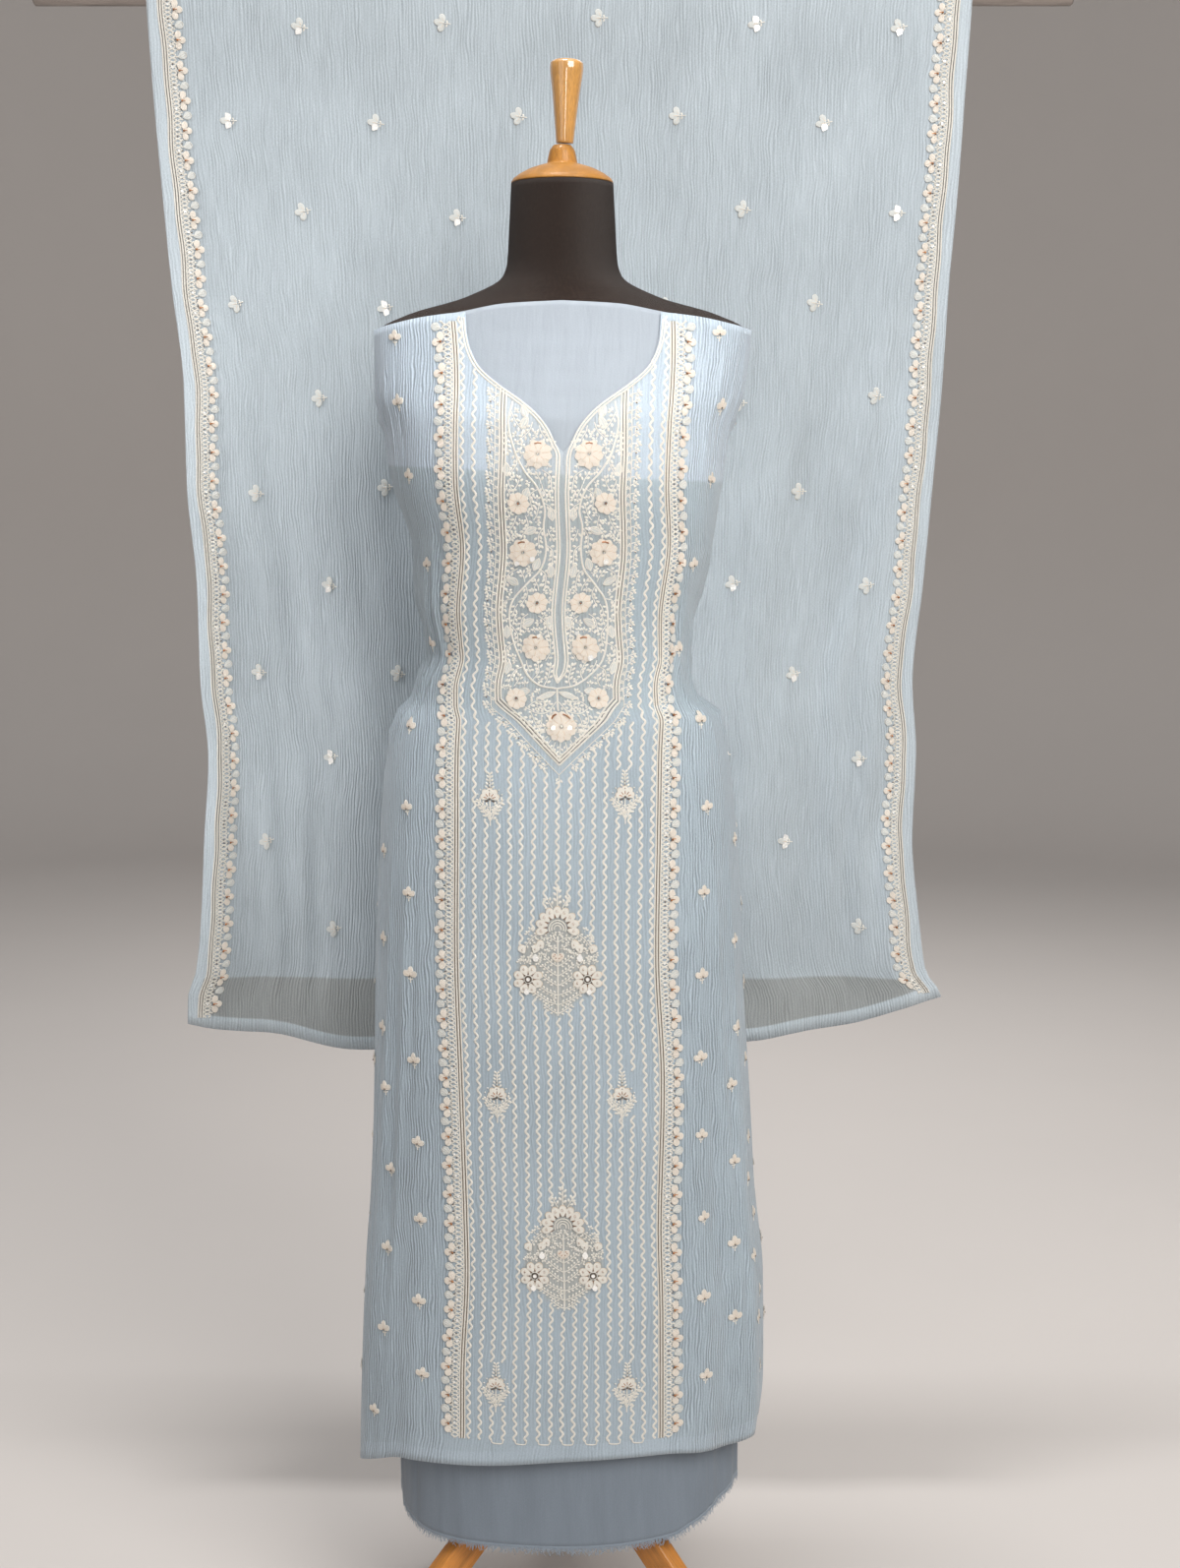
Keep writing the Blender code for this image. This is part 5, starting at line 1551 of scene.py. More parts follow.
def plain_weave(name, colour, deep, sheen, scale=1.0, roughness=0.7):
    """Closely woven cloth with slight slubs."""
    material, tree, shader = new_material(name, Roughness=roughness, Sheen_Weight=sheen,
                                          Sheen_Roughness=0.4, Specular_IOR_Level=0.25)
    _, streak, grain = shared(tree, "Crinkle", crinkle_group, Place=tree.cloth_place())
    slow = tree.noise(tree.stretched(tree.cloth_place(), 60.0 * scale, 9.0 * scale), 2.5, 0.6)
    shade = tree.blend(tree.range(slow, 0.35, 0.7, 0.0, 0.35), colour, deep)
    shade = tree.blend(tree.range(streak, 0.4, 0.7, 0.0, 0.18), shade, deep)
    shade = tree.blend(tree.range(grain, 0.55, 0.42, 0.0, 0.3), shade, deep)
    tree.feed(shader, {"Base Color": shade})
    bumped(tree, shader, tree.plus(tree.times(slow, 0.7), tree.times(grain, 0.12)), 0.0012)
    return material


def jersey(name, colour, deep):
    """Fine knit in ribs with a soft pile, painted shade in the grooves between its wales."""
    material, tree, shader = new_material(name, Roughness=0.88, Sheen_Weight=0.1,
                                          Sheen_Roughness=0.5, Specular_IOR_Level=0.15)
    split = tree.split(tree.cloth_place())
    loops = tree.maths("SINE", tree.times(split["Y"], 2 * math.pi / 0.0016))
    slant = tree.plus(tree.times(split["X"], 2 * math.pi / 0.0019), tree.times(loops, 0.6))
    wales = tree.maths("ABSOLUTE", tree.maths("SINE", slant))
    fuzz = tree.noise(tree.stretched(tree.cloth_place(), 260.0, 190.0), 3.0, 0.6)
    # Painted shade: the grooves between the wales take the deep colour.
    shade = tree.blend(wales, deep, colour)
    shade = tree.blend(tree.range(fuzz, 0.45, 0.8, 0.0, 0.5), shade, colour_share(colour, 1.9))
    tree.feed(shader, {"Base Color": shade})
    bumped(tree, shader, tree.plus(wales, tree.times(fuzz, 0.5)), 0.0005)
    return material


def wood(name, colour, deep, roughness, place_name=None, polish=0.4, lacquer=1.5):
    """Polished wood, its grain long along the first axis of its place."""
    material, tree, shader = new_material(name, Coat_Weight=polish, Coat_Roughness=0.1,
                                          Coat_IOR=lacquer, Specular_IOR_Level=0.3)
    if place_name:
        place = tree.add("ShaderNodeAttribute", attribute_name=place_name).outputs["Vector"]
    else:
        upright = {"Vector": tree.object_place(), "Rotation": (0, math.pi / 2, 0)}
        place = tree.add("ShaderNodeMapping", upright).outputs[0]
    tone, pore = shared(tree, "Wood Grain", grain_group, Place=place)
    shade = tree.blend(tree.range(tone, 0.35, 0.68), colour, deep)
    shade = tree.blend(tree.times(pore, 0.5), shade, colour_share(deep, 0.45))
    tree.feed(shader, {
        "Base Color": shade,
        "Roughness": tree.range(tone, 0.3, 0.7, roughness, roughness + 0.12)})
    bumped(tree, shader, tree.maths("SUBTRACT", 1.0, pore), 0.0002)
    return material


def brushed(name, colour, deep):
    """Drawn metal tube, streaked along its length."""
    material, tree, shader = new_material(name, Metallic=1.0)
    place = tree.object_place()
    lines = tree.noise(tree.stretched(place, 9.0, 900.0, 900.0), 2.0)
    wear = tree.noise(tree.stretched(place, 14.0, 60.0, 60.0), 3.0)
    tree.feed(shader, {"Base Color": tree.blend(tree.range(wear, 0.4, 0.7), colour, deep),
                       "Roughness": tree.range(lines, 0.3, 0.7, 0.26, 0.42)})
    bumped(tree, shader, lines, 0.0001)
    return material


def backdrop_finish(name, colour):
    """Matte studio paper."""
    material, tree, shader = new_material(name, Roughness=0.95, Specular_IOR_Level=0.1)
    soft = tree.noise(tree.stretched(tree.object_place(), 3.0, 3.0, 3.0), 3.0)
    share = tree.range(soft, 0.3, 0.7, 0.0, 0.06)
    tree.feed(shader, {"Base Color": tree.blend(share, colour, colour_share(colour, 0.8))})
    return material


# ------------------------------------------------------------------ sizes and colours to change


def length_of(name, text, default, low, high):
    return bpy.props.FloatProperty(name=name, description=text, default=default, min=low, max=high,
                                   unit="LENGTH", precision=4)


def colour_of(name, text, default):
    return bpy.props.FloatVectorProperty(name=name, description=text, default=default + (1.0,),
                                         subtype="COLOR", size=4, min=0.0, max=1.0)


class SuitSizes(bpy.types.PropertyGroup):
    """Sizes of the suit that can be changed."""

    cloth_wall: length_of("Cloth wall", "Thickness of the sheer cloths", 0.0006, 0.0002, 0.002)
    lining_wall: length_of("Lining wall", "Thickness of the lining and the plain cloth", 0.0008,
                           0.0002, 0.002)
    stitch_clear: length_of("Stitch clearance", "How far stitches stand off the cloth", 0.0002,
                            0.0, 0.001)
    fray_length: length_of("Fray", "Longest loose thread on a raw edge", 0.0068, 0.0, 0.02)
    backdrop_radius: length_of("Backdrop", "Radius of the floor's paper", 6.0, 3.0, 12.0)


class SuitColours(bpy.types.PropertyGroup):
    """Colours of the suit that can be changed."""

    kameez: colour_of("Kameez", "Sheer cloth over its lining", (0.454, 0.528, 0.602))
    kameez_bare: colour_of("Kameez unlined", "Sheer cloth over the form", (0.355, 0.422, 0.47))
    haze: colour_of("Stitched ground", "Cloth between close small stitches", (0.43, 0.365, 0.265))
    dupatta: colour_of("Dupatta", "Sheer stole, two layers deep", (0.494, 0.554, 0.596))
    dupatta_bare: colour_of("Dupatta single", "Sheer stole, one layer deep", (0.362, 0.384, 0.385))
    lining: colour_of("Lining", "Smooth lining", (0.345, 0.384, 0.43))
    plain: colour_of("Plain cloth", "Cloth of the salwar", (0.222, 0.262, 0.31))
    cord: colour_of("Thread", "Cream thread of lines and leaves", (0.9, 0.868, 0.8))
    # Painted shade in the grooves between the cream threads.
    cord_groove_shade: colour_of("Thread shade", "Cream thread in its grooves", (0.6, 0.55, 0.455))
    petal: colour_of("Petals", "Peach satin of the petals", (0.925, 0.853, 0.762))
    # Painted shade in the grooves between the satin threads; the seams' colours are made from it
    # too.
    petal_groove_shade: colour_of("Petal shade", "Satin between its threads", (0.64, 0.52, 0.4))
    sheer_leaf: colour_of("Pale leaves", "Thin pale leaves", (0.7, 0.715, 0.69))
    bead: colour_of("Beads", "Red-brown beads", (0.23, 0.095, 0.035))
    knit: colour_of("Jersey", "Knit cover of the form", (0.028, 0.016, 0.011))
    cap_wood: colour_of("Cap wood", "Turned cap on the neck", (0.49, 0.215, 0.036))
    finial_wood: colour_of("Finial wood", "Turned knob on the cap", (0.7, 0.345, 0.08))
    leg_wood: colour_of("Leg wood", "Legs, hub and pole", (0.78, 0.31, 0.06))
    steel: colour_of("Rail", "Brushed rail", (0.42, 0.37, 0.34))
    paper: colour_of("Paper", "Floor and backdrop", (0.56, 0.52, 0.49))


# ------------------------------------------------------------------ pieces


def uneven_columns(*stretches):
    """Angles in stretches of first, last and step, each stretch ending where the next begins."""
    angles = []
    for first, last, step in stretches:
        count = max(int(round(abs(last - first) / step)), 1)
        angles.append(np.linspace(first, last, count + 1)[:-1])
    return np.concatenate(angles + [[stretches[-1][1]]])


class SUIT_OT_kameez(bpy.types.Operator):
    """Wrap the sheer kameez once round the form"""

    bl_idname = "suit.kameez"
    bl_label = "Kameez"

    def execute(self, context):
        sizes, colours = context.scene.suit_sizes, context.scene.suit_colours
        panel = 35.5
        side = uneven_columns((panel, 112, 0.98), (112, 180 + KAMEEZ_LAP, 1.9))
        centre = uneven_columns((-panel, -10, 1.16), (-10, -4, 0.8), (-4, 4, 0.42), (4, 10, 0.8),
                                (10, panel, 1.16))
        angles = np.concatenate([-side[:0:-1], centre, side[1:]])
        neck_level, hem_level = 1.272, 0.29
        hem, top = KAMEEZ_HEM.at(angles, "z"), kameez_top(angles)
        rows = [hem + (hem_level - hem) * share for share in np.linspace(0, 1, 9)[:-1]]
        rows += [np.full_like(angles, z) for z in np.linspace(hem_level, neck_level, 122)[:-1]]
        rows += [neck_level + (top - neck_level) * share for share in np.linspace(0, 1, 21)]
        heights = np.array(rows)
        turn = np.broadcast_to(angles, heights.shape)
        points = kameez_place(turn, heights)
        u = distance_round(kameez_place, turn, heights)
        lined = heights - LINING_BOTTOM.at(turn, "z")
        lined = np.where(np.abs(turn) < LINING_REACH, lined, -1.0)
        # Below the waist the salwar cloth shows through a little.
        over_salwar = np.clip((1.006 - heights) / 14, -1.0, -0.0008)
        ruffled = 0.3 + 0.7 * smooth((np.abs(u) - 0.1) / 0.03)
        finish = sheer_cloth("kameez sheer cloth", colours.kameez, colours.kameez_bare,
                             across=290.0, along=18.0, depth=0.0008, crinkle_shade=0.6,
                             sewn=colours.haze)
        made = shell("kameez", points, u, heights, finish, sizes.cloth_wall,
                     {"backing": np.maximum(lined, over_salwar), "ruffled": ruffled,
                      "sewn": close_sewn(u, heights),
                      "firm": np.minimum(0.02 - (heights - hem), 0.0)})
        finished(made, "kameez_panel")
        return {"FINISHED"}


class SUIT_OT_lining(bpy.types.Operator):
    """Lay the lining band across the chest, just inside the kameez"""

    bl_idname = "suit.lining"
    bl_label = "Lining"

    def execute(self, context):
        sizes, colours = context.scene.suit_sizes, context.scene.suit_colours
        angles = np.linspace(-LINING_REACH, LINING_REACH, 190)
        top, foot = LINING_TOP.at(np.abs(angles), "z"), LINING_BOTTOM.at(angles, "z")
        heights = np.array([foot + (top - foot) * share for share in np.linspace(0, 1, 34)])
        turn = np.broadcast_to(angles, heights.shape)
        points = wrapped(KAMEEZ, KAMEEZ_FOLDS, turn, heights)
        points = points - square_to(points) * (SOLID_WALL + 2.2 * CLOTH_GAP)
        points = points + square_to(points) * fold_height(LINING_CREASES, turn, heights)[..., None]
        finish = plain_weave("lining cloth", colours.lining, colour_share(colours.lining, 0.86),
                             sheen=0.35, scale=1.6, roughness=0.5)
        made = shell("lining", points, distance_round(kameez_place, turn, heights), heights, finish,
                     sizes.lining_wall)
        finished(made, "lining_yoke")
        return {"FINISHED"}


class SUIT_OT_bottom_cloth(bpy.types.Operator):
    """Wrap the plain salwar cloth round the hips, its raw edge a little frayed"""

    bl_idname = "suit.bottom_cloth"
    bl_label = "Bottom cloth"

    def execute(self, context):
        sizes, colours = context.scene.suit_sizes, context.scene.suit_colours
        end = 180 + BOTTOM_LAP
        angles = uneven_columns((-end, -90, 2.4), (-90, 90, 1.2), (90, end, 2.4))
        hem, even, top = BOTTOM_HEM.at(angles, "z"), 0.3, BOTTOM.rows[-1, 0]
        heights = [hem + (even - hem) * share for share in np.linspace(0, 1, 23)[:-1]]
        heights += [np.full_like(angles, z) for z in np.linspace(even, top, 60)]
        heights = np.array(heights)
        turn = np.broadcast_to(angles, heights.shape)
        points = bottom_place(turn, heights)
        finish = plain_weave("plain cloth", colours.plain, colour_share(colours.plain, 0.72),
                             sheen=0.2)
        u = distance_round(bottom_place, turn, heights)
        made = shell("salwar_cloth", points, u, heights, finish, sizes.lining_wall)
        finished(made, "bottom_cloth")

        ground = wrapped_ground(bottom_place, 0.12, 0.32, 172.0)
        loose = Stitching(ground, 0.0)
        edge, reach, threads = u[0], 0.4, 1500
        luck = np.random.default_rng(5).random((2, threads))
        for at, share, lean in zip(np.linspace(-reach, reach, threads), luck[0]**2, luck[1] - 0.5):
            v = float(np.interp(at, edge, hem))
            drop = sizes.fray_length * (0.25 + share)
            loose.line("fray", line_points(((at, v + 0.002), (at + lean * 0.002, v - drop * 0.5),
                                            (at + lean * 0.008, v - drop))), 0.00028, 0.0003)
        rim = np.stack([edge, hem + 0.0024], axis=1)[np.abs(edge) < reach]
        loose.line("fray", rim, 0.0007, 0.0003)
        fray = loose.sewn("salwar_fray", "fray", "plain_cloth",
                          thread("loose threads", colour_share(colours.plain, 1.42),
                                 colour_share(colours.plain, 0.95), 0.0008, 0.7))
        return {"FINISHED"}


class SUIT_OT_dupatta(bpy.types.Operator):
    """Hang the stole over the rail, a long layer in front and a shorter one behind"""

    bl_idname = "suit.dupatta"
    bl_label = "Dupatta"

    def execute(self, context):
        sizes, colours = context.scene.suit_sizes, context.scene.suit_colours
        across = np.concatenate([np.linspace(-1, -0.5, 78)[:-1], np.linspace(-0.5, 0.5, 66)[:-1],
                                 np.linspace(0.5, 1, 78)])
        over = math.pi * DUPATTA_OUTER
        hem = DUPATTA_HEM.at(across, "z") - RAIL_Z + 0.0015 * np.sin(across * 23)
        back = (over + RAIL_Z - DUPATTA_BACK_BOTTOM) - 0.002 * np.sin(across * 17 + 1)
        runs = [hem * (1 - share) for share in np.linspace(0, 1, 98)[:-1]]
        runs += [np.full_like(across, run) for run in np.linspace(0, over, 11)[:-1]]
        runs += [over + (back - over) * share for share in np.linspace(0, 1, 88)]
        run = np.array(runs)
        place = np.broadcast_to(across, run.shape)
        points = dupatta_place(place, run)
        margin = np.minimum((1 - np.abs(place)) * DUPATTA_CUT_HALF - 0.0125,
                            np.minimum(run - hem - 0.016, back - run - 0.016))
        backing = np.where(run < 0, points[..., 2] - DUPATTA_BACK_BOTTOM, 0.02)
        finish = sheer_cloth("dupatta sheer cloth", colours.dupatta, colours.dupatta_bare,
                             across=275.0, along=12.0, depth=0.0006, crinkle_shade=0.32, alpha=0.84)
        made = shell("stole", points, place * DUPATTA_CUT_HALF, run, finish, sizes.cloth_wall,
                     {"backing": backing, "ruffled": np.full(run.shape, 0.8), "firm": -margin})
        finished(made, "dupatta")
        return {"FINISHED"}


def stitch_finishes(colours):
    """The finish of each kind of stitch, with its piece's ending and how it is made."""
    return {
        "cord": ("cords", thread(
            "cream thread", colours.cord, colours.cord_groove_shade, pitch=0.0011, gloss=0.55,
            depth=0.0003)),
        "satin": ("petals", thread(
            "peach satin", colours.petal, colours.petal_groove_shade, pitch=0.0006, gloss=0.42,
            root_shade=0.0028)),
        "sheer": ("leaves", thread(
            "pale leaves", colours.sheer_leaf, colour_share(colours.sheer_leaf, 0.72),
            pitch=0.0009, gloss=0.5)),
        # The seam finish makes tan outlines round petals and a coiled middle, and lines of painted
        # shade between petals and down their middles.
        "seam": ("outlines_and_painted_shade", thread(
            "tan outlines and painted shade lines", colour_share(colours.petal_groove_shade, 1.25),
            colour_share(colours.petal_groove_shade, 0.9), pitch=0.0008, gloss=0.6)),
        "bead": ("beads", small_metal(
            "red-brown beads", colours.bead, colour_share(colours.bead, 2.2), 0.3, 0.6)),
        # Sequins near white: partly their own pale colour, partly a painted glint that stands in
        # for their sparkle.
        "glint": ("sequins", small_metal(
            "pale sequins with painted glint", [0.98, 0.97, 0.95, 1], [0.95, 0.92, 0.87, 1], 0.18, 0.25)),
        # The dark finish makes dark knot stitches and beads, and the thin dark lines of painted
        # shade between cords.
        "dark": ("knots_and_painted_shade_lines", small_metal(
            "dark knots", [0.14, 0.11, 0.085, 1], [0.22, 0.17, 0.13, 1], 0.45, 0.4)),
    }


def sew_all(stitching, prefix, slot, finishes):
    """One joined piece for each finish that was used."""
    return [stitching.sewn(f"{prefix}_{ending}", finish, slot, material)
            for finish, (ending, material) in finishes.items()
            if finish in stitching.lines or finish in stitching.forms]


class SUIT_OT_stitching(bpy.types.Operator):
    """Embroider the kameez and the dupatta"""

    bl_idname = "suit.stitching"
    bl_label = "Embroidery"

    def execute(self, context):
        sizes, colours = context.scene.suit_sizes, context.scene.suit_colours
        finishes = stitch_finishes(colours)
        on_kameez = Stitching(wrapped_ground(kameez_place, 0.186, 1.436), sizes.stitch_clear)
        sew_kameez(on_kameez)
        pieces = sew_all(on_kameez, "kameez", "chiffon", finishes)
        on_dupatta = Stitching(dupatta_ground(), sizes.stitch_clear)
        sew_dupatta(on_dupatta)
        pieces = sew_all(on_dupatta, "stole", "stole_chiffon", finishes)
        return {"FINISHED"}


def object_from(name, shape, material):
    """An object from a bmesh, which it frees."""
    mesh = bpy.data.meshes.new(name)
    shape.to_mesh(mesh)
    shape.free()
    mesh.shade_smooth()
    return linked(name, mesh, material)


def piece_from(name, shape, material, replaced):
    """A piece from a bmesh, in place of one of the model's nodes."""
    return finished(object_from(name, shape, material), replaced)


class SUIT_OT_torso(bpy.types.Operator):
    """Cover the limbless form with jersey"""

    bl_idname = "suit.torso"
    bl_label = "Form"

    def execute(self, context):
        colours = context.scene.suit_colours
        sides, levels = 120, TORSO.rows[:, 0]
        heights = np.concatenate([np.linspace(a, b, 6)[:-1] for a, b in zip(levels, levels[1:])]
                                 + [levels[-1:]])
        turn, z = np.meshgrid(np.linspace(-180, 180, sides + 1), heights)
        sine, cosine = np.sin(turn * RADIANS), np.cos(turn * RADIANS)
        depth = np.where(cosine > 0, TORSO.at(z, "front"), TORSO.at(z, "back"))
        fullness = 0.08 * smooth((1.43 - z) / 0.05)
        x = TORSO.at(z, "side") * sine * (1 + fullness * cosine**2) + FORM_X
        y = -depth * cosine * (1 + fullness * sine**2) + FORM_Y
        body = bmesh.new()
        bmesh.ops.create_grid(body, x_segments=sides, y_segments=len(heights) - 1, size=1)
        layer = body.loops.layers.uv.new("cloth")
        body.verts.ensure_lookup_table()
        flat = np.stack([turn * RADIANS * COVER_ARM, z], axis=-1).reshape(-1, 2)
        for vertex, place in zip(body.verts, np.stack([x, y, z], axis=-1).reshape(-1, 3)):
            vertex.co = place
        for face in body.faces:
            for loop in face.loops:
                loop[layer].uv = flat[loop.vert.index]
        bmesh.ops.remove_doubles(body, verts=body.verts, dist=1e-6)
        bmesh.ops.holes_fill(body, edges=[edge for edge in body.edges if edge.is_boundary])
        bmesh.ops.recalc_face_normals(body, faces=body.faces)
        finish = jersey("dark jersey", colour_share(colours.knit, 1.25),
                        colour_share(colours.knit, 0.6))
        piece_from("torso", body, finish, "form_torso")
        return {"FINISHED"}


def turned(profile, steps=64):
    """A solid turned about the upright axis from radii and heights, listed from top to bottom."""
    solid = bmesh.new()
    points = [solid.verts.new((radius, 0, z)) for radius, z in profile]
    edges = [solid.edges.new(pair) for pair in zip(points, points[1:])]
    bmesh.ops.spin(solid, geom=points + edges, cent=(0, 0, 0), axis=(0, 0, 1),
                   angle=2 * math.pi, steps=steps, use_merge=True)
    bmesh.ops.remove_doubles(solid, verts=solid.verts, dist=1e-6)
    bmesh.ops.recalc_face_normals(solid, faces=solid.faces)
    return solid


def rounded(profile, share=0.22):
    """A profile with each corner cut into a soft one."""
    profile = [np.array(point) for point in profile]
    soft = [profile[0]]
    for before, here, after in zip(profile, profile[1:], profile[2:]):
        start, end = here + (before - here) * share, here + (after - here) * share
        soft += [start, (start + 2 * here + end) / 4, end]
    return soft + [profile[-1]]


class SUIT_OT_turned_wood(bpy.types.Operator):
    """Turn the neck cap and the finial"""

    bl_idname = "suit.turned_wood"
    bl_label = "Cap and finial"

    def execute(self, context):
        colours = context.scene.suit_colours
        seat = float(TORSO.rows[-1][0]) + PIECE_GAP
        cap = ((0.0, CAP_HEIGHT), (0.009, 0.0378), (0.0128, 0.0325), (0.015, 0.0225),
               (0.0155, 0.0195), (0.0215, 0.018), (0.0325, 0.0145), (0.0425, 0.0095),
               (0.0495, 0.0045), (0.0515, 0.0015), (0.0516, 0.0), (0.0, 0.0))
        finish = wood("cap wood", colours.cap_wood, colour_share(colours.cap_wood, 0.7), 0.36,
                      polish=0.2)
        solid = turned(rounded(cap))
        bmesh.ops.translate(solid, verts=solid.verts, vec=(FORM_X, FORM_Y, seat))
        piece_from("wooden_cap", solid, finish, "neck_cap")
        knob = [(radius, FINIAL_HEIGHT - drop) for radius, drop in (
            (0.0, 0.0), (0.013, 0.0006), (0.0166, 0.0036), (0.0169, 0.01), (0.0138, 0.033),
            (0.0102, 0.066))]
        knob += [(0.009, 0.002), (0.0084, 0.0), (0.0, 0.0)]
        finish = wood("finial wood", colours.finial_wood, colour_share(colours.finial_wood, 0.72),
                      0.3, polish=1.0, lacquer=2.0)
        solid = turned(rounded(knob))
        lean = Matrix.Rotation(FINIAL_LEAN * RADIANS, 4, "Y")
        foot = seat + CAP_HEIGHT + 2 * PIECE_GAP
        stand = Matrix.Translation((FORM_X + FINIAL_SHIFT, FORM_Y, foot))
        bmesh.ops.transform(solid, matrix=stand @ lean, verts=solid.verts)
        piece_from("wooden_finial", solid, finish, "finial")
        return {"FINISHED"}


class SUIT_OT_stand(bpy.types.Operator):
    """Make the pole, the hub and the three legs"""

    bl_idname = "suit.stand"
    bl_label = "Stand"

    def execute(self, context):
        colours = context.scene.suit_colours
        deep = colour_share(colours.leg_wood, 0.55)
        upright = wood("leg wood upright", colours.leg_wood, deep, 0.34)
        top, foot, ease = TORSO_BOTTOM - PIECE_GAP, HUB_TOP + PIECE_GAP, 0.004
        pole = turned(((0, top), (POLE_RADIUS, top), (POLE_RADIUS, foot), (0, foot)), 40)
        hub = turned(rounded((
            (0, HUB_TOP), (HUB_RADIUS - ease, HUB_TOP), (HUB_RADIUS, HUB_TOP - ease),
            (HUB_RADIUS, HUB_BOTTOM + ease), (HUB_RADIUS - ease, HUB_BOTTOM), (0, HUB_BOTTOM))), 48)
        for name, solid, node in (("pole", pole, "form_pole"), ("hub", hub, "tripod_hub")):
            bmesh.ops.translate(solid, verts=solid.verts, vec=(FORM_X, FORM_Y, 0))
            made = piece_from(name, solid, upright, node)
            made.data.set_sharp_from_angle(angle=math.radians(45))
        grained = wood("leg wood", colours.leg_wood, deep, 0.34, "grain")
        for node, angle in LEG_ANGLES.items():
            self.leg(node, angle, grained)
        return {"FINISHED"}

    def leg(self, node, angle, finish):
        """A splayed board with eased edges, its grain along its slope."""
        inner = HUB_RADIUS + PIECE_GAP
        outline = ((inner, LEG_TOP), (inner, LEG_TOP - LEG_DROP), (inner + LEG_TOP - LEG_DROP, 0.0),
                   (LEG_REACH - 0.003, 0.0), (LEG_REACH, 0.006),
                   (LEG_REACH - 0.002, LEG_TOP + inner - LEG_REACH + 0.002))
        board = bmesh.new()
        corners = [board.verts.new((out, -LEG_THICKNESS / 2, up)) for out, up in outline]
        side = bmesh.ops.contextual_create(board, geom=corners)["faces"]
        raised = bmesh.ops.extrude_face_region(board, geom=side)["geom"]
        bmesh.ops.translate(board, vec=(0, LEG_THICKNESS, 0),
                            verts=[item for item in raised if isinstance(item, bmesh.types.BMVert)])
        bmesh.ops.recalc_face_normals(board, faces=board.faces)
        bmesh.ops.bevel(board, geom=board.edges[:], offset=0.0022, affect="EDGES", segments=3,
                        profile=0.5, material=-1)
        bmesh.ops.subdivide_edges(board, edges=[e for e in board.edges if e.calc_length() > 0.05],
                                  cuts=6, use_grid_fill=True)
        slope = Matrix.Rotation(math.radians(-45), 3, "Y")
        grain = [slope @ v.co for v in board.verts]
        spin = Matrix.Translation((FORM_X, FORM_Y, 0)) @ Matrix.Rotation(angle * RADIANS, 4, "Z")
        bmesh.ops.transform(board, matrix=spin, verts=board.verts)
        made = piece_from(node + "_board", board, finish, node)
        made.data.set_sharp_from_angle(angle=math.radians(35))
        layer = made.data.attributes.new("grain", "FLOAT_VECTOR", "POINT")
        layer.data.foreach_set("vector", np.array(grain, dtype=np.float32).ravel())


class SUIT_OT_rail(bpy.types.Operator):
    """Make the brushed rail that the stole hangs on"""

    bl_idname = "suit.rail"
    bl_label = "Rail"

    def execute(self, context):
        colours = context.scene.suit_colours
        half, ease = RAIL_LENGTH / 2, 0.0012
        profile = ((0, half), (RAIL_RADIUS - ease, half), (RAIL_RADIUS, half - ease),
                   (RAIL_RADIUS, half / 2), (RAIL_RADIUS, -half / 2), (RAIL_RADIUS, ease - half),
                   (RAIL_RADIUS - ease, -half), (0, -half))
        tube = turned(profile, 48)
        turn = Matrix.Translation((0, RAIL_Y, RAIL_Z)) @ Matrix.Rotation(math.pi / 2, 4, "Y")
        bmesh.ops.transform(tube, matrix=turn, verts=tube.verts)
        finish = brushed("brushed rail", colours.steel, colour_share(colours.steel, 0.6))
        made = piece_from("hanging_rail", tube, finish, "rail")
        made.data.set_sharp_from_angle(angle=math.radians(35))
        return {"FINISHED"}


CAMERA_LENS = 48.56
CAMERA_PLACE = (FORM_X + 0.028, FORM_Y - 2.2, 1.264)
CAMERA_TILT = 81.5        # degrees from straight down

# Lights: name, place, what each is turned to, size, power, then its tint and spread if need be.
LIGHTS = (
    ("key", (1.3, -2.2, 2.7), (0.0, 0.0, 1.2), (1.9, 1.9), 79, (1.0, 0.985, 0.96)),
    ("fill", (-2.0, -2.6, 2.3), (0.0, 0.0, 1.1), (2.2, 2.2), 11, (0.95, 0.98, 1.0)),
    ("wash", (-0.28, -0.22, 4.5), (-0.28, 0.19, 0.9), (1.0, 0.3), 59, (0.98, 0.99, 1.0)),
    ("side", (-1.45, -0.22, 1.6), (-0.32, 0.2, 1.15), (0.2, 0.9), 0.7, (1, 1, 1), 30),
    ("front", (0.005, -2.45, 1.44), (0.015, -0.06, 1.44), (0.3, 0.6), 3.0),
    ("chest", (0.45, -2.1, 2.1), (0.025, -0.17, 1.25), (0.3, 0.3), 0.17, (1, 0.97, 0.92), 22),
    ("back", (0.4, 2.8, 2.6), (0.0, 0.1, 1.0), (2.4, 1.6), 40),
    ("top", (0.0, -0.2, 3.8), (0.0, 0.0, 0.0), (2.6, 2.6), 22),
)


def area_light(name, place, target, size, power, tint=(1, 1, 1), spread=180):
    """A soft rectangular light turned to a place."""
    light = bpy.data.lights.new(name, "AREA")
    light.shape, light.size, light.size_y = "RECTANGLE", size[0], size[1]
    light.energy, light.color, light.spread = power, tint, math.radians(spread)
    lamp = bpy.data.objects.new(name, light)
    lamp.location = place
    lamp.rotation_euler = (Vector(target) - Vector(place)).to_track_quat("-Z", "Y").to_euler()
    bpy.context.scene.collection.objects.link(lamp)


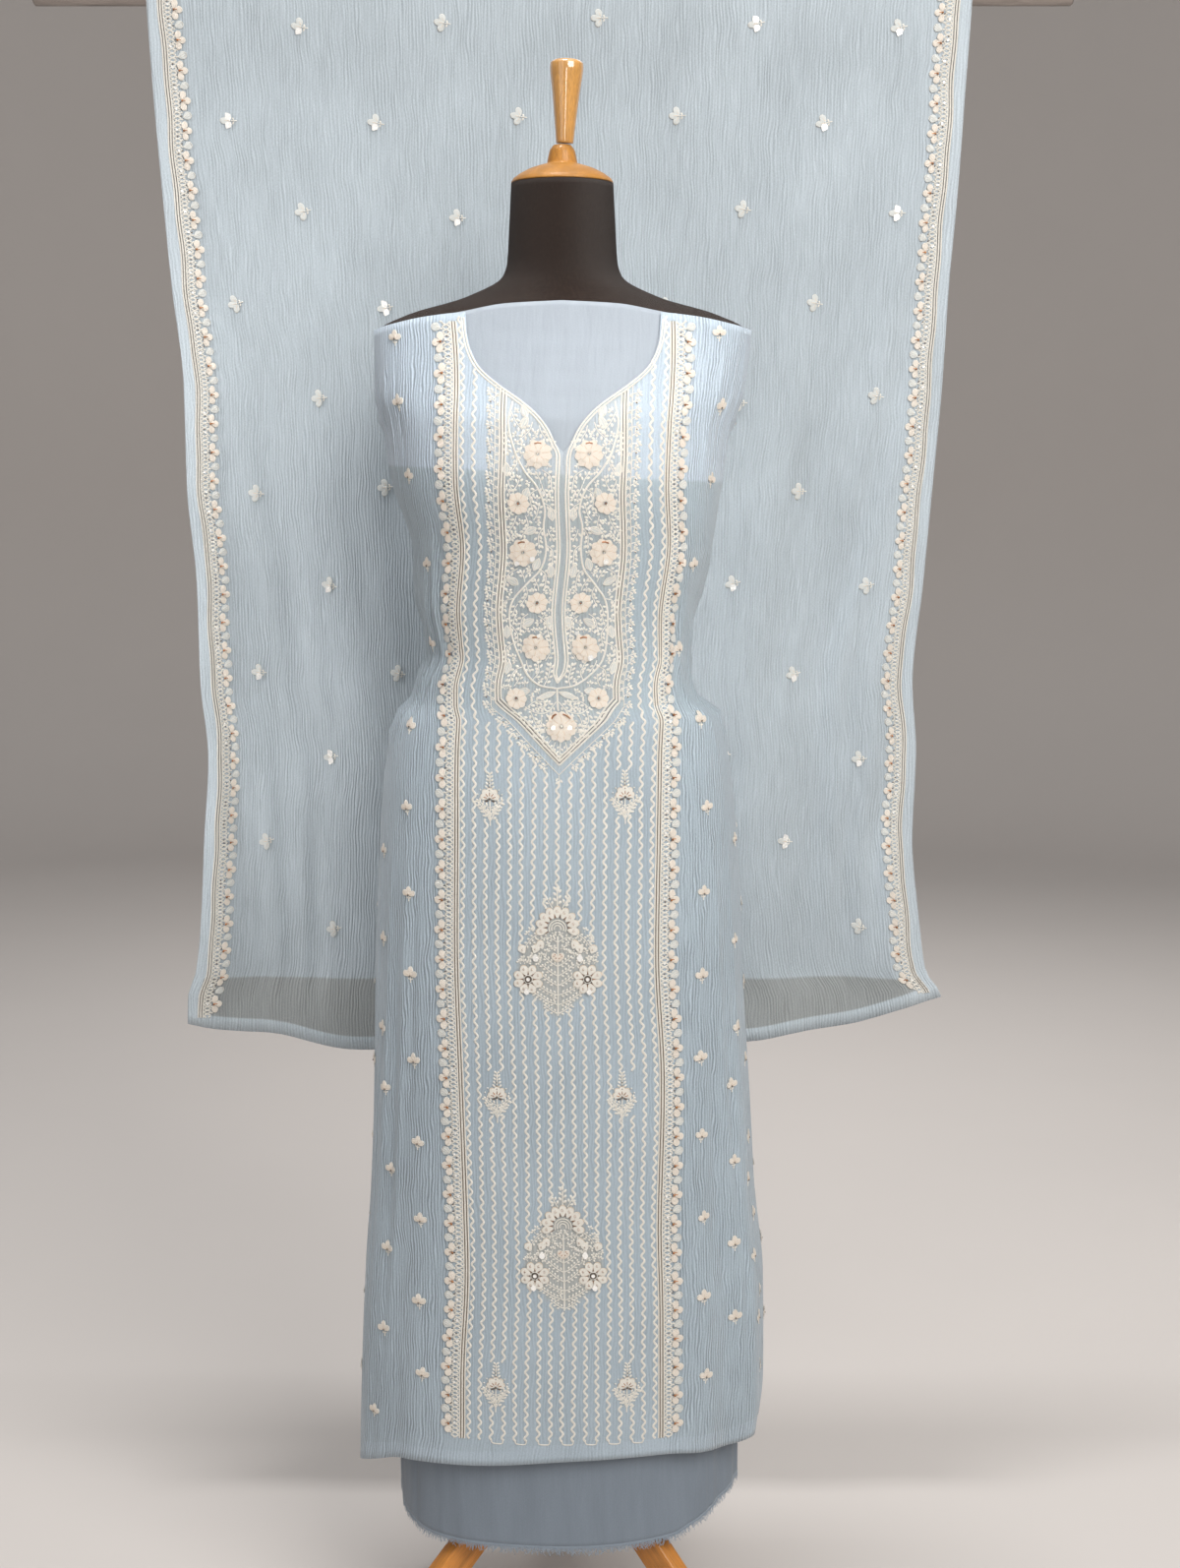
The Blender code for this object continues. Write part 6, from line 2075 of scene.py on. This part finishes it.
class SUIT_OT_stage(bpy.types.Operator):
    """Set the paper floor and backdrop, the soft lights and the camera"""

    bl_idname = "suit.stage"
    bl_label = "Stage"

    def execute(self, context):
        sizes, colours = context.scene.suit_sizes, context.scene.suit_colours
        radius, wall, curve = sizes.backdrop_radius, 4.2, 1.2
        profile = [(0, 0), (1.5, 0), (3.0, 0)]
        profile += [(radius - curve + curve * math.sin(t * RADIANS),
                     curve - curve * math.cos(t * RADIANS)) for t in range(0, 91, 9)]
        profile.append((radius, wall))
        finish = backdrop_finish("studio paper", colours.paper)
        paper = object_from("backdrop", turned(profile, 96), finish)
        paper.data.flip_normals()

        world = bpy.data.worlds.new("studio")
        world.use_nodes = True
        glow = world.node_tree.nodes["Background"].inputs
        glow["Color"].default_value = (0.93, 0.96, 1.0, 1.0)
        glow["Strength"].default_value = 0.38
        context.scene.world = world
        for light in LIGHTS:
            area_light(*light)

        camera = bpy.data.cameras.new("camera")
        camera.lens, camera.sensor_width = CAMERA_LENS, 36.0
        eye = bpy.data.objects.new("camera", camera)
        eye.location = CAMERA_PLACE
        eye.rotation_euler = (math.radians(CAMERA_TILT), 0, 0)
        context.scene.collection.objects.link(eye)
        context.scene.camera = eye
        context.scene.view_settings.view_transform = "Standard"
        return {"FINISHED"}


OPERATORS = (
    SUIT_OT_stage, SUIT_OT_torso, SUIT_OT_turned_wood, SUIT_OT_stand, SUIT_OT_rail, SUIT_OT_lining,
    SUIT_OT_bottom_cloth, SUIT_OT_kameez, SUIT_OT_dupatta, SUIT_OT_stitching,
)


class SUIT_PT_panel(bpy.types.Panel):
    """Lists the suit's operators, sizes and colours."""

    bl_idname = "SUIT_PT_panel"
    bl_label = "Salwar kameez suit"
    bl_space_type = "VIEW_3D"
    bl_region_type = "UI"
    bl_category = "Suit"

    def draw(self, context):
        for group in (context.scene.suit_sizes, context.scene.suit_colours):
            for name in group.bl_rna.properties.keys():
                if name not in {"rna_type", "name"}:
                    self.layout.prop(group, name)
        for operator in OPERATORS:
            self.layout.operator(operator.bl_idname)


CLASSES = (SuitSizes, SuitColours, *OPERATORS, SUIT_PT_panel)


def register():
    for made in CLASSES:
        bpy.utils.register_class(made)
    bpy.types.Scene.suit_sizes = bpy.props.PointerProperty(type=SuitSizes)
    bpy.types.Scene.suit_colours = bpy.props.PointerProperty(type=SuitColours)


def unregister():
    del bpy.types.Scene.suit_sizes
    del bpy.types.Scene.suit_colours
    for made in reversed(CLASSES):
        bpy.utils.unregister_class(made)


def main():
    register()
    for operator in OPERATORS:
        group, name = operator.bl_idname.split(".")
        getattr(getattr(bpy.ops, group), name)()


if __name__ == "__main__":
    main()
